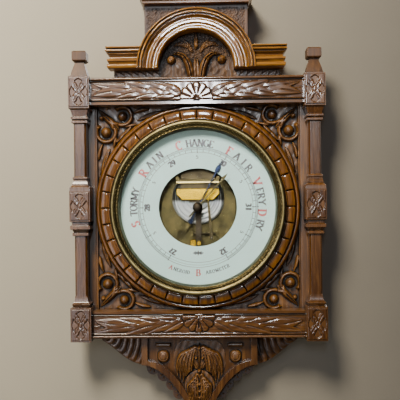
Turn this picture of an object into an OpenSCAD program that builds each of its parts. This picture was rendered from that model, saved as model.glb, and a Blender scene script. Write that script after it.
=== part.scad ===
// Wall-hung aneroid barometer in a carved walnut case.
// The back rests on the wall plane y = 0, the front faces -Y and +Z is up.
// The origin is where the dial's axis meets the wall plane.
// "Depth" is a distance from the wall, towards the viewer, so y = -depth.

/* [Case] */
// Half width of the boards
board_half_w = 150; // [149:0.5:152]
// Thickness of the backboard
board_t = 14; // [13:0.5:15]
// Thickness of the carved panel on the backboard
panel_t = 14; // [13:0.5:15]
// Distance of each pillar's centre from the dial's axis
pillar_x = 147; // [146.5:0.5:148]
// Width of a pillar's square blocks
pillar_w = 26; // [25:0.5:27]
// Width of a pillar's slender shaft
shaft_w = 15.5; // [13:0.5:17]
// Distance from the dial's axis to a rail's near edge
rail_near = 130; // [130:0.5:131]
// Height of the top and bottom rails
rail_h = 34; // [32:0.5:34]
// Thickness of the rails
rail_t = 19; // [17:0.5:21]

/* [Pediment] */
// Height of the arch's centre above the dial's axis
arch_z = 175.5; // [175:0.5:176]
// Inner radius of the arch moulding
arch_r = 47.6; // [47:0.2:48.4]
// Width of the arch and shoulder mouldings
arch_w = 27.4; // [27:0.2:27.8]
// Half width across the shoulders
shoulder_half_w = 114; // [110:1:118]
// Height of the cornice's lower edge above the dial's axis
cornice_z = 257; // [256:0.5:258]
// Height of the cornice
cornice_h = 13; // [12:0.5:14]

/* [Pendant] */
// Half width of the pendant shield at its top
shield_half_w = 73.5; // [72:0.5:75]
// Height of the shield's straight sides
shield_side_h = 36; // [34:1:38]
// Depth of the pendant's tip below the dial's axis
tip_z = 277; // [274:1:282]

/* [Dial and bezel] */
// Outer radius of the movement's drum
drum_r = 103; // [102.8:0.1:103.1]
// Radius of the open centre of the dial
dial_hole_r = 49.6; // [48:0.2:50.4]
// Outer radius of the brass bezel
bezel_r = 110.4; // [110.2:0.1:110.6]
// Outer radius of the turned wood surround
surround_r = 131; // [130.5:0.5:132]
// Depth of the dial's face
dial_face = 35; // [34.8:0.1:35.1]

/* [Movement] */
// Radius of the vacuum capsule
capsule_r = 34; // [33:0.5:34.5]
// Height of the capsule's centre above the dial's axis
capsule_z = 12; // [11.8:0.1:12.2]
// Length of the indicating hand from the axis to its tip
hand_l = 68; // [60:1:72]
// Length of the set hand from the axis to its tip
set_hand_l = 57; // [50:1:62]
// Angle of the indicating hand at rest, clockwise from the top
hand_angle = 28; // [27:0.5:29]
// Angle of the set hand at rest, clockwise from the top
set_hand_angle = 42; // [38:1:60]

/* [Hidden] */
$fn = 96;

oak = "saddlebrown";
dark_oak = "sienna";
fit = 0.05;              // radial clearance of a running or screwed fit
seam = 0.02;             // clearance between round pieces that only touch

panel_face = board_t + panel_t;
rail_far = rail_near + rail_h;
rail_face = panel_face + rail_t;
pillar_mid = panel_face + pillar_w / 2;
arch_outer = arch_r + arch_w;
pediment_face = 50;
moulding_back = panel_face;

drum_hole_r = drum_r + 0.6;
drum_wall = 1.2;
flange_d = 36;
flange_t = 1.2;
flange_r = bezel_r - 0.4;
drum_rim = 41;
glass_back = 43.3;
glass_t = 2;
glass_r = drum_r - 0.2;
dial_t = 1.2;
skirt_r = drum_r + fit;

plate_back = 4.2;
plate_t = 2.5;
plate_face = plate_back + plate_t;
capsule_back = 9;
capsule_front = 16;
leaf_back = 20;
leaf_t = 1.2;
leaf_half_w = 22;
bend_z = 50;
bend_r = 6;
pivot_z = 48;
pivot_d = 13;
shaft_z = -34;
shaft_d = 14;
arm_x = 1.2;
chain_d = 24;
short_arm = 5;
lever_x = 17;
arbor_r = 0.9;
foot_z = -46;
adjust_z = 61;

// Sites of the wood screws that hold the case together: [x, z]
rail_screws = [for (x = [-95, 95], z = [147, -147]) [x, z]];
pillar_screws = [for (s = [-1, 1], z = [145, 3, -146]) [s * (board_half_w - 8), z]];
case_screw_sites = concat(rail_screws, pillar_screws);
plate_screw_sites = [[0, 208.5], [0, 243.5]];
drum_screw_sites = [for (a = [90, 210, 330]) [106.8 * cos(a), 106.8 * sin(a)]];
dial_post_sites = [for (a = [30, 150, 270]) [90 * cos(a), 90 * sin(a)]];
foot_sites = [[-40, -38], [40, -38], [0, 70]];
bar_post_x = 25.8;
bar_post_z = 37.2;
rear_post = [-16, -28];

// ---- helpers -------------------------------------------------------------

// A flat outline in X and Z, given thickness from depth d0 to depth d1
module slab(d0, d1) {
    rotate([90, 0, 0])
        translate([0, 0, d0])
            linear_extrude(height = d1 - d0)
                children();
}

// A turned body about the dial's axis from a profile of [radius, depth]
module turned() {
    rotate([90, 0, 0])
        rotate_extrude()
            children();
}

// A round rod along the depth
module rod(r, d0, d1, at = [0, 0]) {
    translate([at[0], -d0, at[1]])
        rotate([90, 0, 0])
            cylinder(r = r, h = d1 - d0);
}

// A round rod along X
module cross_rod(r, x0, x1, d, z) {
    translate([x0, -d, z])
        rotate([0, 90, 0])
            cylinder(r = r, h = x1 - x0);
}

// A box between two values of x, of depth and of z
module block(x, d, z) {
    translate([x[0], -d[1], z[0]])
        cube([x[1] - x[0], d[1] - d[0], z[1] - z[0]]);
}

// A countersunk wood screw driven forwards from depth d0
module wood_screw(r, d0, d1, at, slack = 0) {
    head = 2 * r;
    translate([at[0], -d0, at[1]])
        rotate([90, 0, 0]) {
            cylinder(r1 = head + slack, r2 = r + slack, h = r);
            cylinder(r = r + slack, h = d1 - d0 + slack);
        }
}

// A point on a cubic curve
function curve_at(p, t) =
    pow(1 - t, 3) * p[0] + 3 * pow(1 - t, 2) * t * p[1]
    + 3 * (1 - t) * t * t * p[2] + pow(t, 3) * p[3];
function curve(p, n) = [for (i = [0 : n]) curve_at(p, i / n)];
function arc(c, r, a0, a1, n) =
    [for (i = [0 : n]) c + r * [cos(a0 + (a1 - a0) * i / n), sin(a0 + (a1 - a0) * i / n)]];
function mirrored(pts) =
    concat(pts, [for (i = [len(pts) - 1 : -1 : 0]) [-pts[i][0], pts[i][1]]]);

// ---- case ----------------------------------------------------------------

// The pendant's lower edge, from a straight side in to the tip
shield_edge = concat(
    [[shield_half_w, -rail_far], [shield_half_w, -rail_far - shield_side_h]],
    curve([[shield_half_w - 2, -rail_far - shield_side_h], [45, -203], [24, -232],
        [11, -tip_z + 13]], 12),
    arc([0, -tip_z + 11], 11, -10, -90, 5));

module backboard() {
    color(oak)
        difference() {
            block([-board_half_w, board_half_w], [0, board_t], [-rail_far, rail_far]);
            rod(drum_hole_r, -1, board_t + 1);
            for (p = case_screw_sites)
                wood_screw(2, 0, 60, p, fit);
        }
}

// The board behind the pediment, slotted for the wall screw's head
module crest_board() {
    color(oak)
        difference() {
            slab(0, board_t)
                polygon(mirrored([[108, rail_far], [108, 199], [62, 199], [62, cornice_z]]));
            block([-16 - fit, 16 + fit], [-1, 2], [204 - fit, 248 + fit]);
            block([-7, 7], [-1, board_t + 1], [211, 241]);
            for (p = plate_screw_sites)
                rod(1.5 + fit, -1, 12, p);
        }
}

module carved_panel() {
    color(oak)
        difference() {
            block([-board_half_w, board_half_w], [board_t, panel_face], [-rail_far, rail_far]);
            rod(drum_hole_r, 0, panel_face + 1);
            for (p = case_screw_sites)
                wood_screw(2, 0, 60, p, fit);
        }
}

module bezel_surround() {
    color(dark_oak)
        difference() {
            intersection() {
                turned()
                    polygon(concat(
                        [[drum_hole_r, panel_face], [drum_hole_r, flange_d],
                            [bezel_r + 0.2, flange_d], [bezel_r + 0.2, 42.6]],
                        arc([bezel_r + 1.6, 42.6], 1.4, 180, 0, 8),
                        [[121.4, 41.2], [122.4, 38.4]],
                        arc([125.6, 37], 2.2, 150, 0, 8),
                        [[surround_r - 0.6, 33], [surround_r, 31], [surround_r, panel_face]]));
                block([-200, 200], [0, 60], [-rail_near, rail_near]);
            }
            for (p = drum_screw_sites)
                rod(1.35 + fit, panel_face + 0.4, 60, p);
        }
}

// Half width of a pillar at each height, from its foot to its top
block_r = pillar_w / 2;
shaft_r = shaft_w / 2;
pillar_profile = concat(
    [[block_r, -167], [block_r, -124.5], [block_r - 3.4, -123.6], [block_r - 1.6, -119.6]],
    curve([[block_r - 3, -118.6], [shaft_r + 1, -117.5], [shaft_r, -114], [shaft_r, -109.4]], 5),
    [[shaft_r, -35], [shaft_r + 2.2, -34], [shaft_r + 2.2, -31], [shaft_r + 0.6, -30]],
    [[block_r - 3, -27], [block_r - 0.6, -26], [block_r - 0.6, -22], [block_r - 2.6, -21]],
    [[block_r - 2.6, -17.4], [block_r, -16.4], [block_r, 21.6], [block_r - 0.4, 23]],
    [[block_r - 0.4, 26.6], [block_r - 2.4, 28]],
    curve([[block_r - 3.4, 29], [shaft_r + 3, 31], [shaft_r + 0.4, 33], [shaft_r + 0.4, 36]], 4),
    [[shaft_r + 1.4, 37], [shaft_r + 1.4, 39], [shaft_r, 40.4], [shaft_r, 106]],
    [[shaft_r + 2.2, 107.2], [shaft_r + 2.2, 109.8], [shaft_r + 0.8, 111]],
    [[shaft_r + 2.8, 112.2], [shaft_r + 2.8, 114.4]],
    curve([[shaft_r + 1.2, 115.6], [shaft_r + 2, 119], [block_r - 3, 120], [block_r - 2.2, 123.4]], 4),
    [[block_r, 125.2], [block_r, 165.5]]);

module square_turned(profile) {
    outline = mirrored(profile);
    intersection() {
        rotate([90, 0, 0])
            linear_extrude(height = 80, center = true)
                polygon(outline);
        rotate([90, 0, 90])
            linear_extrude(height = 80, center = true)
                polygon(outline);
    }
}

module pillar(side) {
    color(oak)
        difference() {
            translate([side * pillar_x, -pillar_mid, 0])
                square_turned(pillar_profile);
            for (p = pillar_screws)
                rod(2 + fit, 0, panel_face + 12 + fit, p);
            translate([side * pillar_x, -pillar_mid, 156])
                cylinder(r = 3 + fit, h = 20);
        }
}

// Half width of a finial at each height above the pillar's top
finial_profile = concat(
    [[10.6, 0], [10.6, 1.2]],
    curve([[10.2, 2], [9.4, 7], [7.6, 11], [5.6, 17.6]], 6),
    [[5.4, 18.6], [7.6, 19.4], [9, 21], [9, 31.2], [7.6, 32.6]]);

module finial(side) {
    color(dark_oak)
        translate([side * pillar_x, -pillar_mid, 165.5]) {
            square_turned(finial_profile);
            translate([0, 0, -9])
                cylinder(r = 3, h = 10);
        }
}

// A rail above (side 1) or below (side -1) the dial, from its section in
// [depth, distance from the edge nearer the dial]
module rail(side) {
    section = [[panel_face, 0], [rail_face - 0.4, 0], [rail_face - 0.4, 3.2],
        [rail_face - 2.2, 4], [rail_face - 2.2, 5.6], [rail_face - 0.8, 6.6],
        [rail_face - 0.8, rail_h - 5.4], [rail_face - 2.4, rail_h - 4.4],
        [rail_face - 2.4, rail_h - 3], [rail_face - 0.6, rail_h - 2.4],
        [rail_face, rail_h - 1.2], [rail_face - 0.6, rail_h], [panel_face, rail_h]];
    half = pillar_x - block_r;
    color(oak)
        difference() {
            rotate([90, 0, 90])
                linear_extrude(height = 2 * half, center = true)
                    polygon([for (p = section) [-p[0], side * (rail_near + p[1])]]);
            for (p = rail_screws)
                rod(2 + fit, 0, panel_face + 12 + fit, p);
        }
}

module pediment_board() {
    color(oak)
        slab(board_t, panel_face)
            polygon(mirrored([[106, rail_far], [106, 197], [60, 197], [60, cornice_z]]));
}

// The pediment moulding's section: [distance from its inner edge, depth]
moulding_section = concat(
    [[0, moulding_back], [0, pediment_face - 4.4]],
    curve([[0, pediment_face - 4.4], [0.2, pediment_face - 2.2], [1.6, pediment_face - 2],
        [3, pediment_face - 1.9]], 4),
    curve([[3, pediment_face - 1.9], [4.6, pediment_face - 1.8], [5.6, pediment_face - 2.4],
        [5.8, pediment_face - 4.2]], 4),
    [[6.4, pediment_face - 4.2], [9, pediment_face - 3.2], [9.2, pediment_face - 2.2],
        [11.6, pediment_face - 2]],
    curve([[12, pediment_face - 3.6], [13.2, pediment_face - 6.6], [17, pediment_face - 5.8],
        [18.2, pediment_face - 2.2]], 7),
    [[18.6, pediment_face - 2], [19, pediment_face - 3.4], [20.6, pediment_face - 3.4]],
    arc([22.2, pediment_face - 1.6], 1.6, 180, 0, 6),
    [[24, pediment_face - 3], [25, pediment_face - 3]],
    arc([26.2, pediment_face - 1.2], 1.2, 180, 0, 5),
    [[arch_w, moulding_back]]);

module arch_moulding() {
    color(oak)
        translate([0, 0, arch_z])
            intersection() {
                turned()
                    polygon([for (p = moulding_section) [arch_r + p[0], p[1]]]);
                block([-100, 100], [0, 80], [0, 100]);
            }
}

// Each shoulder repeats the arch's section along X and returns round its end
module shoulder_moulding(side) {
    color(oak)
        difference() {
            intersection() {
                translate([side * 75, 0, arch_z])
                    rotate([90, 0, 90])
                        linear_extrude(height = 80, center = true)
                            polygon([for (p = moulding_section) [-p[1], p[0]]]);
                slab(0, 80)
                    polygon(concat([[side * 40, arch_z]],
                        [for (p = moulding_section)
                            [side * (shoulder_half_w - pediment_face + p[1]), arch_z + p[0]]],
                        [[side * 40, arch_z + arch_w]]));
            }
            rod(arch_outer + seam, 0, 80, [0, arch_z]);
        }
}

module frieze_board() {
    color(oak)
        difference() {
            block([-65.4, 65.4], [panel_face, 36], [arch_z + arch_w, cornice_z]);
            rod(arch_outer + seam, 0, 80, [0, arch_z]);
        }
}

module cornice_cap() {
    h = cornice_h;
    color(dark_oak)
        intersection() {
            translate([0, 0, cornice_z])
                rotate([90, 0, 90])
                    linear_extrude(height = 200, center = true)
                        polygon(concat([[0, 0], [-45, 0], [-45, 3]],
                            curve([[-46, 4], [-46.6, 6.4], [-49, 8], [-52, h - 3.4]], 5),
                            [[-53, h - 3.4], [-53, h], [0, h]]));
            slab(0, 80)
                translate([0, cornice_z])
                    polygon(mirrored(concat([[67, 0], [67, 3]],
                        curve([[67.6, 4], [68, 6.4], [69.6, 8], [71.4, h - 3.4]], 5),
                        [[72.2, h - 3.4], [72.2, h]])));
        }
}

module tympanum_carving() {
    color(dark_oak)
        translate([0, 0, arch_z]) {
            intersection() {
                rod(arch_r - seam, panel_face, panel_face + 3);
                block([-60, 60], [0, 60], [-10, 60]);
            }
            slab(panel_face + 2, panel_face + 12)
                polygon(mirrored(concat([[9, -9]],
                    curve([[9, 0], [4, 6], [24, 16], [27, 2]], 8),
                    curve([[31, 6], [30, 22], [14, 26], [0, 43]], 8))));
        }
}

module apron_wing(side) {
    edge = concat([[shield_half_w, -rail_far], [board_half_w - 24, -rail_far]],
        [[board_half_w - 24, -rail_far - 6]],
        curve([[board_half_w - 26, -rail_far - 8], [112, -rail_far - 13],
            [98, -rail_far - 33], [shield_half_w + 4, -rail_far - 38]], 8),
        [[shield_half_w, -rail_far - shield_side_h - 2]]);
    lobe_sites = [[60, -207, 8], [46, -215, 8.6], [35, -227, 8.4], [26.5, -238.5, 8]];
    web = [[shield_half_w + 5, -200], [58, -213], [56, -205], [70, -198]];
    color(dark_oak)
        difference() {
            union() {
                slab(0, 22)
                    polygon([for (p = edge) [side * p[0], p[1]]]);
                slab(6, 18)
                    polygon([for (p = web) [side * p[0], p[1]]]);
                for (s = lobe_sites)
                    rod(s[2], 6, 24, [side * s[0], s[1]]);
            }
            slab(-1, board_t + 1)
                pendant_backing(seam);
            pendant_body(seam);
        }
}

module pendant_body(slack = 0) {
    slab(board_t - slack, 30 + slack)
        polygon(mirrored([for (p = shield_edge) [p[0] * (1 + slack / 50), p[1]]]));
}

module pendant_backing(slack = 0) {
    grow = 0.94 * (1 + slack / 50);
    polygon(mirrored([for (p = shield_edge) [p[0] * grow, (p[1] + rail_far) * 0.96 - rail_far]]));
}

module pendant_shield() {
    color(oak) {
        pendant_body();
        slab(0, board_t + 1)
            pendant_backing();
    }
}

module pendant_moulding() {
    inner = [for (p = shield_edge) [max(p[0] - 5, 0.2) * 0.96, p[1] * 0.978 + 0.4]];
    color(oak)
        slab(30, 36)
            difference() {
                polygon(mirrored(shield_edge));
                polygon(mirrored(concat([[shield_half_w - 5, 0]], inner)));
            }
}

module pendant_palmette() {
    color(dark_oak)
        slab(30, 40)
            polygon(mirrored(concat([[26, -rail_far - 6]],
                curve([[34, -190], [36, -205], [16, -225], [9, -248]], 8),
                curve([[8, -250], [7, -258], [3, -262], [0.5, -266]], 4))));
}

module pendant_bosses() {
    color(dark_oak)
        for (side = [-1, 1]) {
            block([side * 46 - 8, side * 46 + 8], [30, 36], [-198, -181.5]);
            block([side * 46 - 10, side * 46 + 10], [30, 34.5], [-178, -172.5]);
        }
}

module case_wood_screws() {
    color("gray")
        for (p = case_screw_sites)
            wood_screw(2, 0, panel_face + 12, p);
}

// ---- hanging -------------------------------------------------------------

module hanging_plate() {
    color("goldenrod")
        difference() {
            block([-16, 16], [0, 2], [204, 248]);
            rod(5.5, -1, 3, [0, 217.5]);
            rod(2.6, -1, 3, [0, 233]);
            block([-2.6, 2.6], [-1, 3], [217.5, 233]);
            for (p = plate_screw_sites)
                wood_screw(1.5, 0, 60, p, fit);
        }
}

module hanging_plate_screws() {
    color("goldenrod")
        for (p = plate_screw_sites)
            wood_screw(1.5, 0, 11.5, p);
}

// ---- drum, bezel and dial --------------------------------------------------

module case_drum() {
    color("goldenrod")
        difference() {
            turned()
                polygon([[0, 0], [drum_r, 0], [drum_r, flange_d], [flange_r, flange_d],
                    [flange_r, flange_d + flange_t], [drum_r, flange_d + flange_t],
                    [drum_r, drum_rim], [drum_r - drum_wall, drum_rim],
                    [drum_r - drum_wall, drum_wall], [0, drum_wall]]);
            rod(4, -1, 3, [0, adjust_z]);
            for (p = drum_screw_sites)
                rod(1.35 + fit, 30, 40, p);
        }
}

module drum_screws() {
    color("goldenrod")
        for (p = drum_screw_sites) {
            rod(1.35, panel_face + 0.5, flange_d + flange_t + 0.1, p);
            rod(2.3, flange_d + flange_t, flange_d + flange_t + 1.5, p);
        }
}

module bezel() {
    foot = flange_d + flange_t;
    front = 50;
    color("gold")
        turned()
            polygon(concat(
                [[skirt_r, foot], [skirt_r + 1.15, foot], [skirt_r + 1.15, 43.5],
                    [bezel_r - 1.2, 43.5], [bezel_r - 1.2, foot], [bezel_r, foot],
                    [bezel_r, front - 3.4]],
                arc([bezel_r - 3, front - 3], 3, 0, 150, 8),
                [[104.4, front - 2.2], [103.6, front - 3.4], [101.6, front - 3.4],
                    [99.8, front - 4], [99.8, glass_back + glass_t],
                    [skirt_r, glass_back + glass_t]]));
}

module sight_ring() {
    color("khaki")
        turned()
            polygon([[98.2, dial_face], [99.4, dial_face], [101.7, glass_back - 0.4],
                [101.7, glass_back], [100.4, glass_back]]);
}

module glass() {
    color([0.8, 0.9, 0.95, 0.3])
        turned()
            polygon([[3 + seam, glass_back], [glass_r, glass_back],
                [glass_r, glass_back + glass_t], [3 + seam, glass_back + glass_t]]);
}

module glass_bush() {
    color("gold")
        turned()
            polygon([[1.5 + fit, glass_back - 0.8], [4.6, glass_back - 0.8], [4.6, glass_back],
                [3, glass_back], [3, glass_back + glass_t], [4.6, glass_back + glass_t],
                [4.6, glass_back + glass_t + 0.8], [1.5 + fit, glass_back + glass_t + 0.8]]);
}

module set_knob() {
    knob = glass_back + glass_t + 1;
    color("gold")
        turned()
            polygon(concat(
                [[0, 39.6], [1.5, 39.6], [1.5, knob], [3, knob], [3, knob + 1.6],
                    [6, knob + 2.2], [6.2, knob + 5.4]],
                arc([0, knob - 1], 9.2, 46, 90, 8)));
}

module set_hand() {
    d = 40.4;
    color("gold")
        rotate([0, set_hand_angle, 0])
            difference() {
                union() {
                    rod(3.4, d, d + 1.8);
                    slab(d + 0.5, d + 1.1)
                        polygon([[-1.1, -16], [1.1, -16], [1.3, 0], [0.9, set_hand_l - 12],
                            [2.4, set_hand_l - 9], [0, set_hand_l], [-2.4, set_hand_l - 9],
                            [-0.9, set_hand_l - 12], [-1.3, 0]]);
                }
                rod(1.5 + seam, 30, 50);
            }
}

module dial() {
    color("whitesmoke")
        turned()
            polygon([[dial_hole_r, dial_face - dial_t], [drum_r - drum_wall - 0.3, dial_face - dial_t],
                [drum_r - drum_wall - 0.3, dial_face], [dial_hole_r, dial_face]]);
}

module dial_posts() {
    color("goldenrod")
        for (p = dial_post_sites)
            rod(3, drum_wall, dial_face - dial_t, p);
}

// ---- movement ----------------------------------------------------------------

module movement_plate() {
    color("darkgoldenrod")
        difference() {
            slab(plate_back, plate_face)
                difference() {
                    hull() {
                        for (x = [-36, 36])
                            translate([x, -46])
                                circle(r = 12, $fn = 32);
                        translate([0, 68])
                            circle(r = 16, $fn = 32);
                        for (x = [-34, 34])
                            translate([x, 46])
                                circle(r = 14, $fn = 32);
                    }
                }
            rod(3 + fit, 0, 20, [0, capsule_z]);
            rod(2 + fit, 0, 20, [0, adjust_z]);
            for (p = foot_sites)
                rod(1.5 + fit, 0, 20, p);
        }
}

module movement_feet() {
    color("goldenrod")
        for (p = foot_sites)
            difference() {
                rod(4, drum_wall, plate_back, p);
                rod(1.5 + fit, drum_wall + 0.5, 20, p);
            }
}

module movement_screws() {
    color("silver")
        for (p = foot_sites) {
            rod(1.5, drum_wall + 0.6, plate_face + 0.1, p);
            rod(2.8, plate_face, plate_face + 1.8, p);
        }
}

module vacuum_capsule() {
    // Shallow circular corrugations on the front and rear diaphragms
    rings = [for (i = [0 : 3]) 9 + 6 * i];
    front = concat([[4, capsule_front]],
        [for (r = rings, k = [0 : 3]) [r + [0, 1.5, 3, 4.5][k], capsule_front - [0, 0.8, 0.8, 0][k]]],
        [[capsule_r - 0.4, capsule_front - 0.6]]);
    back = [for (p = front) [p[0], capsule_front + capsule_back - p[1]]];
    color("silver")
        translate([0, 0, capsule_z]) {
            turned()
                polygon(concat([[0, capsule_front]], front,
                    [[capsule_r, (capsule_front + capsule_back) / 2]],
                    [for (i = [len(back) - 1 : -1 : 0]) back[i]], [[0, capsule_back]]));
            rod(3, 2, capsule_back + 0.5);
            difference() {
                rod(3, capsule_front - 0.5, 23.6);
                cross_rod(1 + fit, -5, 5, 22.3, 0);
            }
        }
}

module capsule_nut() {
    color("goldenrod")
        translate([0, 0, capsule_z])
            difference() {
                translate([0, -1.8, 0])
                    rotate([90, 0, 0])
                        cylinder(r = 6, h = 2.3, $fn = 6);
                rod(3 + fit, 0, 10);
            }
}

module knife_edge_pin() {
    color("silver")
        cross_rod(1, -7, 7, 22.3, capsule_z);
}

module mainspring() {
    // The lower leaf, the C bend above the capsule and the long front leaf
    inner = bend_r - leaf_t / 2;
    outer = bend_r + leaf_t / 2;
    mid = leaf_back + leaf_t / 2 - bend_r;
    color("slategray")
        difference() {
            union() {
                translate([0, -mid, bend_z])
                    rotate([0, 90, 0])
                        linear_extrude(height = 2 * leaf_half_w, center = true)
                            difference() {
                                intersection() {
                                    circle(r = outer);
                                    translate([-2 * outer, -outer])
                                        square([2 * outer, 2 * outer]);
                                }
                                circle(r = inner);
                            }
                block([-leaf_half_w, leaf_half_w], [leaf_back, leaf_back + leaf_t], [24, bend_z]);
                block([-leaf_half_w, leaf_half_w], [mid - outer, mid - inner], [bend_z - 5, bend_z]);
                slab(leaf_back, leaf_back + leaf_t)
                    polygon([[leaf_half_w, 25], [10, 7], [-10, 7], [-leaf_half_w, 25]]);
            }
            rod(3.4, 10, 30, [0, capsule_z]);
            for (x = [-12, 12])
                rod(1 + fit, 10, 30, [x, 20]);
        }
}

module spring_bridge() {
    mid = leaf_back + leaf_t / 2 - bend_r;
    leaf_rear = mid - bend_r - leaf_t / 2;
    color("dimgray")
        difference() {
            union() {
                block([-33, 33], [plate_face + 0.1, leaf_rear], [44.6, bend_z + 2]);
                for (s = [-1, 1])
                    block([s > 0 ? 25 : -33, s > 0 ? 33 : -25], [plate_face + 0.1, 18], [43.6, 53]);
                block([-5, 5], [plate_face + 0.1, leaf_rear], [50, adjust_z + 5]);
            }
            cross_rod(1 + fit, -40, 40, pivot_d, pivot_z);
        }
}

module bridge_ears() {
    color("goldenrod")
        for (s = [-1, 1])
            difference() {
                block([s > 0 ? 33.4 : -37.4, s > 0 ? 37.4 : -33.4], [plate_face, 17], [43, 53]);
                cross_rod(1 + fit, -40, 40, pivot_d, pivot_z);
            }
}

module bridge_pivot_screws() {
    color("silver")
        for (s = [-1, 1]) {
            cross_rod(1, s > 0 ? 27 : -38, s > 0 ? 38 : -27, pivot_d, pivot_z);
            cross_rod(2, s > 0 ? 37.4 : -39, s > 0 ? 39 : -37.4, pivot_d, pivot_z);
        }
}

module cross_bar() {
    color("gold") {
        block([-27.5, 27.5], [25, 27.4], [31, 36]);
        for (s = [-1, 1]) {
            rod(2.6, 25, 27.4, [s * bar_post_x, bar_post_z]);
            rod(1.5, plate_face, 25.2, [s * bar_post_x, bar_post_z]);
        }
    }
}

module main_lever() {
    // A wide foot plate on the spring's tip, with a slender arm down to the link
    color("gold")
        difference() {
            union() {
                slab(23.8, 25.4)
                    polygon([[27, 23.6], [27, 17], [20, 10], [-20, 10], [-27, 17], [-27, 23.6]]);
                for (x = [-12, 12])
                    rod(2.6, leaf_back + leaf_t, 24, [x, 20]);
                slab(23.8, 25.4)
                    polygon([[11.6, 11], [14, 11], [lever_x + 2, -37], [lever_x + 2, -41.6],
                        [lever_x - 2, -41.6], [lever_x - 2, -37]]);
            }
            for (x = [-12, 12])
                rod(1 + fit, 10, 30, [x, 20]);
            rod(0.7 + fit, 20, 30, [lever_x, shaft_z - short_arm]);
        }
}

module lever_screws() {
    color("silver")
        for (x = [-12, 12]) {
            rod(1, leaf_back - 0.4, 25.5, [x, 20]);
            rod(1.9, 25.4, 26.6, [x, 20]);
            rod(1.9, leaf_back - 1.2, leaf_back, [x, 20]);
        }
}

module link_rod() {
    color("silver")
        rod(0.7, shaft_d + 1.4, 26.2, [lever_x, shaft_z - short_arm]);
}

module rocking_shaft() {
    color("silver") {
        cross_rod(1.5, -5.6, 22, shaft_d, shaft_z);
        cross_rod(0.8, -9.5, 25, shaft_d, shaft_z);
        block([lever_x - 1.2, lever_x + 1.2], [shaft_d - 0.7, shaft_d + 0.7],
            [shaft_z - short_arm - 1.2, shaft_z]);
        block([arm_x - 0.7, arm_x + 0.7], [shaft_d, chain_d + 1], [shaft_z - 0.8, shaft_z + 0.8]);
    }
}

module rocking_posts() {
    color("goldenrod")
        for (x = [-9, 22.6])
            difference() {
                block([x, x + 2.2], [plate_face, shaft_d + 3], [shaft_z - 3, shaft_z + 3]);
                cross_rod(0.8 + fit, x - 1, x + 4, shaft_d, shaft_z);
            }
}

module arbor_cock() {
    color([0.12, 0.11, 0.1])
        difference() {
            union() {
                rod(5.6, 29, 31);
                block([-3, 4.4], [29, 31], [foot_z - 3.6, 0]);
            }
            rod(arbor_r + fit, 20, 40);
            rod(1.6 + fit, 20, 40, [1, foot_z]);
        }
}

module cock_foot() {
    color("gold") {
        block([-10, 4.6], [plate_face, 29], [foot_z - 4.2, foot_z + 4]);
        rod(1.6, 28, 31.1, [1, foot_z]);
        rod(2.8, 31, 32.4, [1, foot_z]);
    }
}

module rear_cock() {
    color("goldenrod")
        difference() {
            union() {
                rod(2.4, plate_face, 19.9, rear_post);
                rod(3, 18.4, 19.9);
                slab(18.4, 19.9)
                    rotate(atan2(rear_post[1], rear_post[0]))
                        translate([0, -1.8])
                            square([norm(rear_post), 3.6]);
            }
            rod(0.6 + fit, 10, 30);
        }
}

module hand_arbor() {
    color("silver")
        turned()
            polygon([[0, 18.2], [0.6, 18.2], [0.6, 20.2], [arbor_r, 20.2], [arbor_r, 22.8],
                [2, 22.8], [2, 23.2], [arm_x - 0.36, 23.6], [arm_x - 0.36, 24.6], [2, 25], [2, 25.4],
                [arbor_r, 25.4], [arbor_r, 38.2], [0, 38.2]]);
}

module indicating_hand() {
    d = 36.2;
    head = hand_l - 13;
    color("midnightblue")
        rotate([0, hand_angle, 0])
            difference() {
                union() {
                    rod(3, d - 0.6, d + 1.4);
                    slab(d, d + 0.7) {
                        polygon(concat([[-0.9, 0], [-0.7, head - 6]],
                            curve([[-0.8, head - 6], [-3.6, head - 2], [-3, head + 3], [-0.5, head + 6]], 6),
                            [[0, hand_l]],
                            curve([[0.5, head + 6], [3, head + 3], [3.6, head - 2], [0.8, head - 6]], 6),
                            [[0.9, 0]]));
                        polygon([[-0.9, 0], [0.9, 0], [1.8, -20], [-1.8, -20]]);
                        translate([0, -20])
                            circle(r = 3.2);
                    }
                }
                rod(arbor_r + seam, 30, 50);
            }
}

function coil_at(a, w) = (2 + 5.2 * a / 1440 + w) * [cos(a), sin(a)];

module hairspring() {
    steps = [0 : 15 : 1440];
    color("slategray")
        slab(26.6, 27.6)
            polygon(concat([for (a = steps) coil_at(a, 0.12)],
                [for (a = [1440 : -15 : 0]) coil_at(a, -0.12)]));
}

module chain() {
    color("silver")
        translate([arm_x, -chain_d - 0.1, shaft_z + 0.8])
            cylinder(r = 0.3, h = -shaft_z - 0.8, $fn = 8);
}

module adjusting_screw() {
    color("silver")
        difference() {
            union() {
                rod(3.4, 1.6, plate_back - 0.1, [0, adjust_z]);
                rod(2, plate_back - 0.2, plate_face + 0.06, [0, adjust_z]);
            }
            block([-4, 4], [0, 2.4], [adjust_z - 0.4, adjust_z + 0.4]);
        }
}

// ---- nodes -------------------------------------------------------------------

backboard();
carved_panel();
bezel_surround();
pillar(-1);  // pillar_left
pillar(1);  // pillar_right
finial(-1);  // finial_left
finial(1);  // finial_right
rail(1);  // top_rail
rail(-1);  // bottom_rail
pediment_board();
arch_moulding();
shoulder_moulding(-1);  // shoulder_moulding_left
shoulder_moulding(1);  // shoulder_moulding_right
frieze_board();
cornice_cap();
tympanum_carving();
apron_wing(-1);  // apron_wing_left
apron_wing(1);  // apron_wing_right
pendant_shield();
pendant_moulding();
pendant_palmette();
pendant_bosses();
case_wood_screws();
hanging_plate();
hanging_plate_screws();
case_drum();
drum_screws();
bezel();
sight_ring();
glass();
glass_bush();
set_knob();
set_hand();
dial();
dial_posts();
movement_plate();
movement_feet();
movement_screws();
vacuum_capsule();
capsule_nut();
knife_edge_pin();
mainspring();
spring_bridge();
bridge_ears();
bridge_pivot_screws();
cross_bar();
main_lever();
lever_screws();
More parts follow.
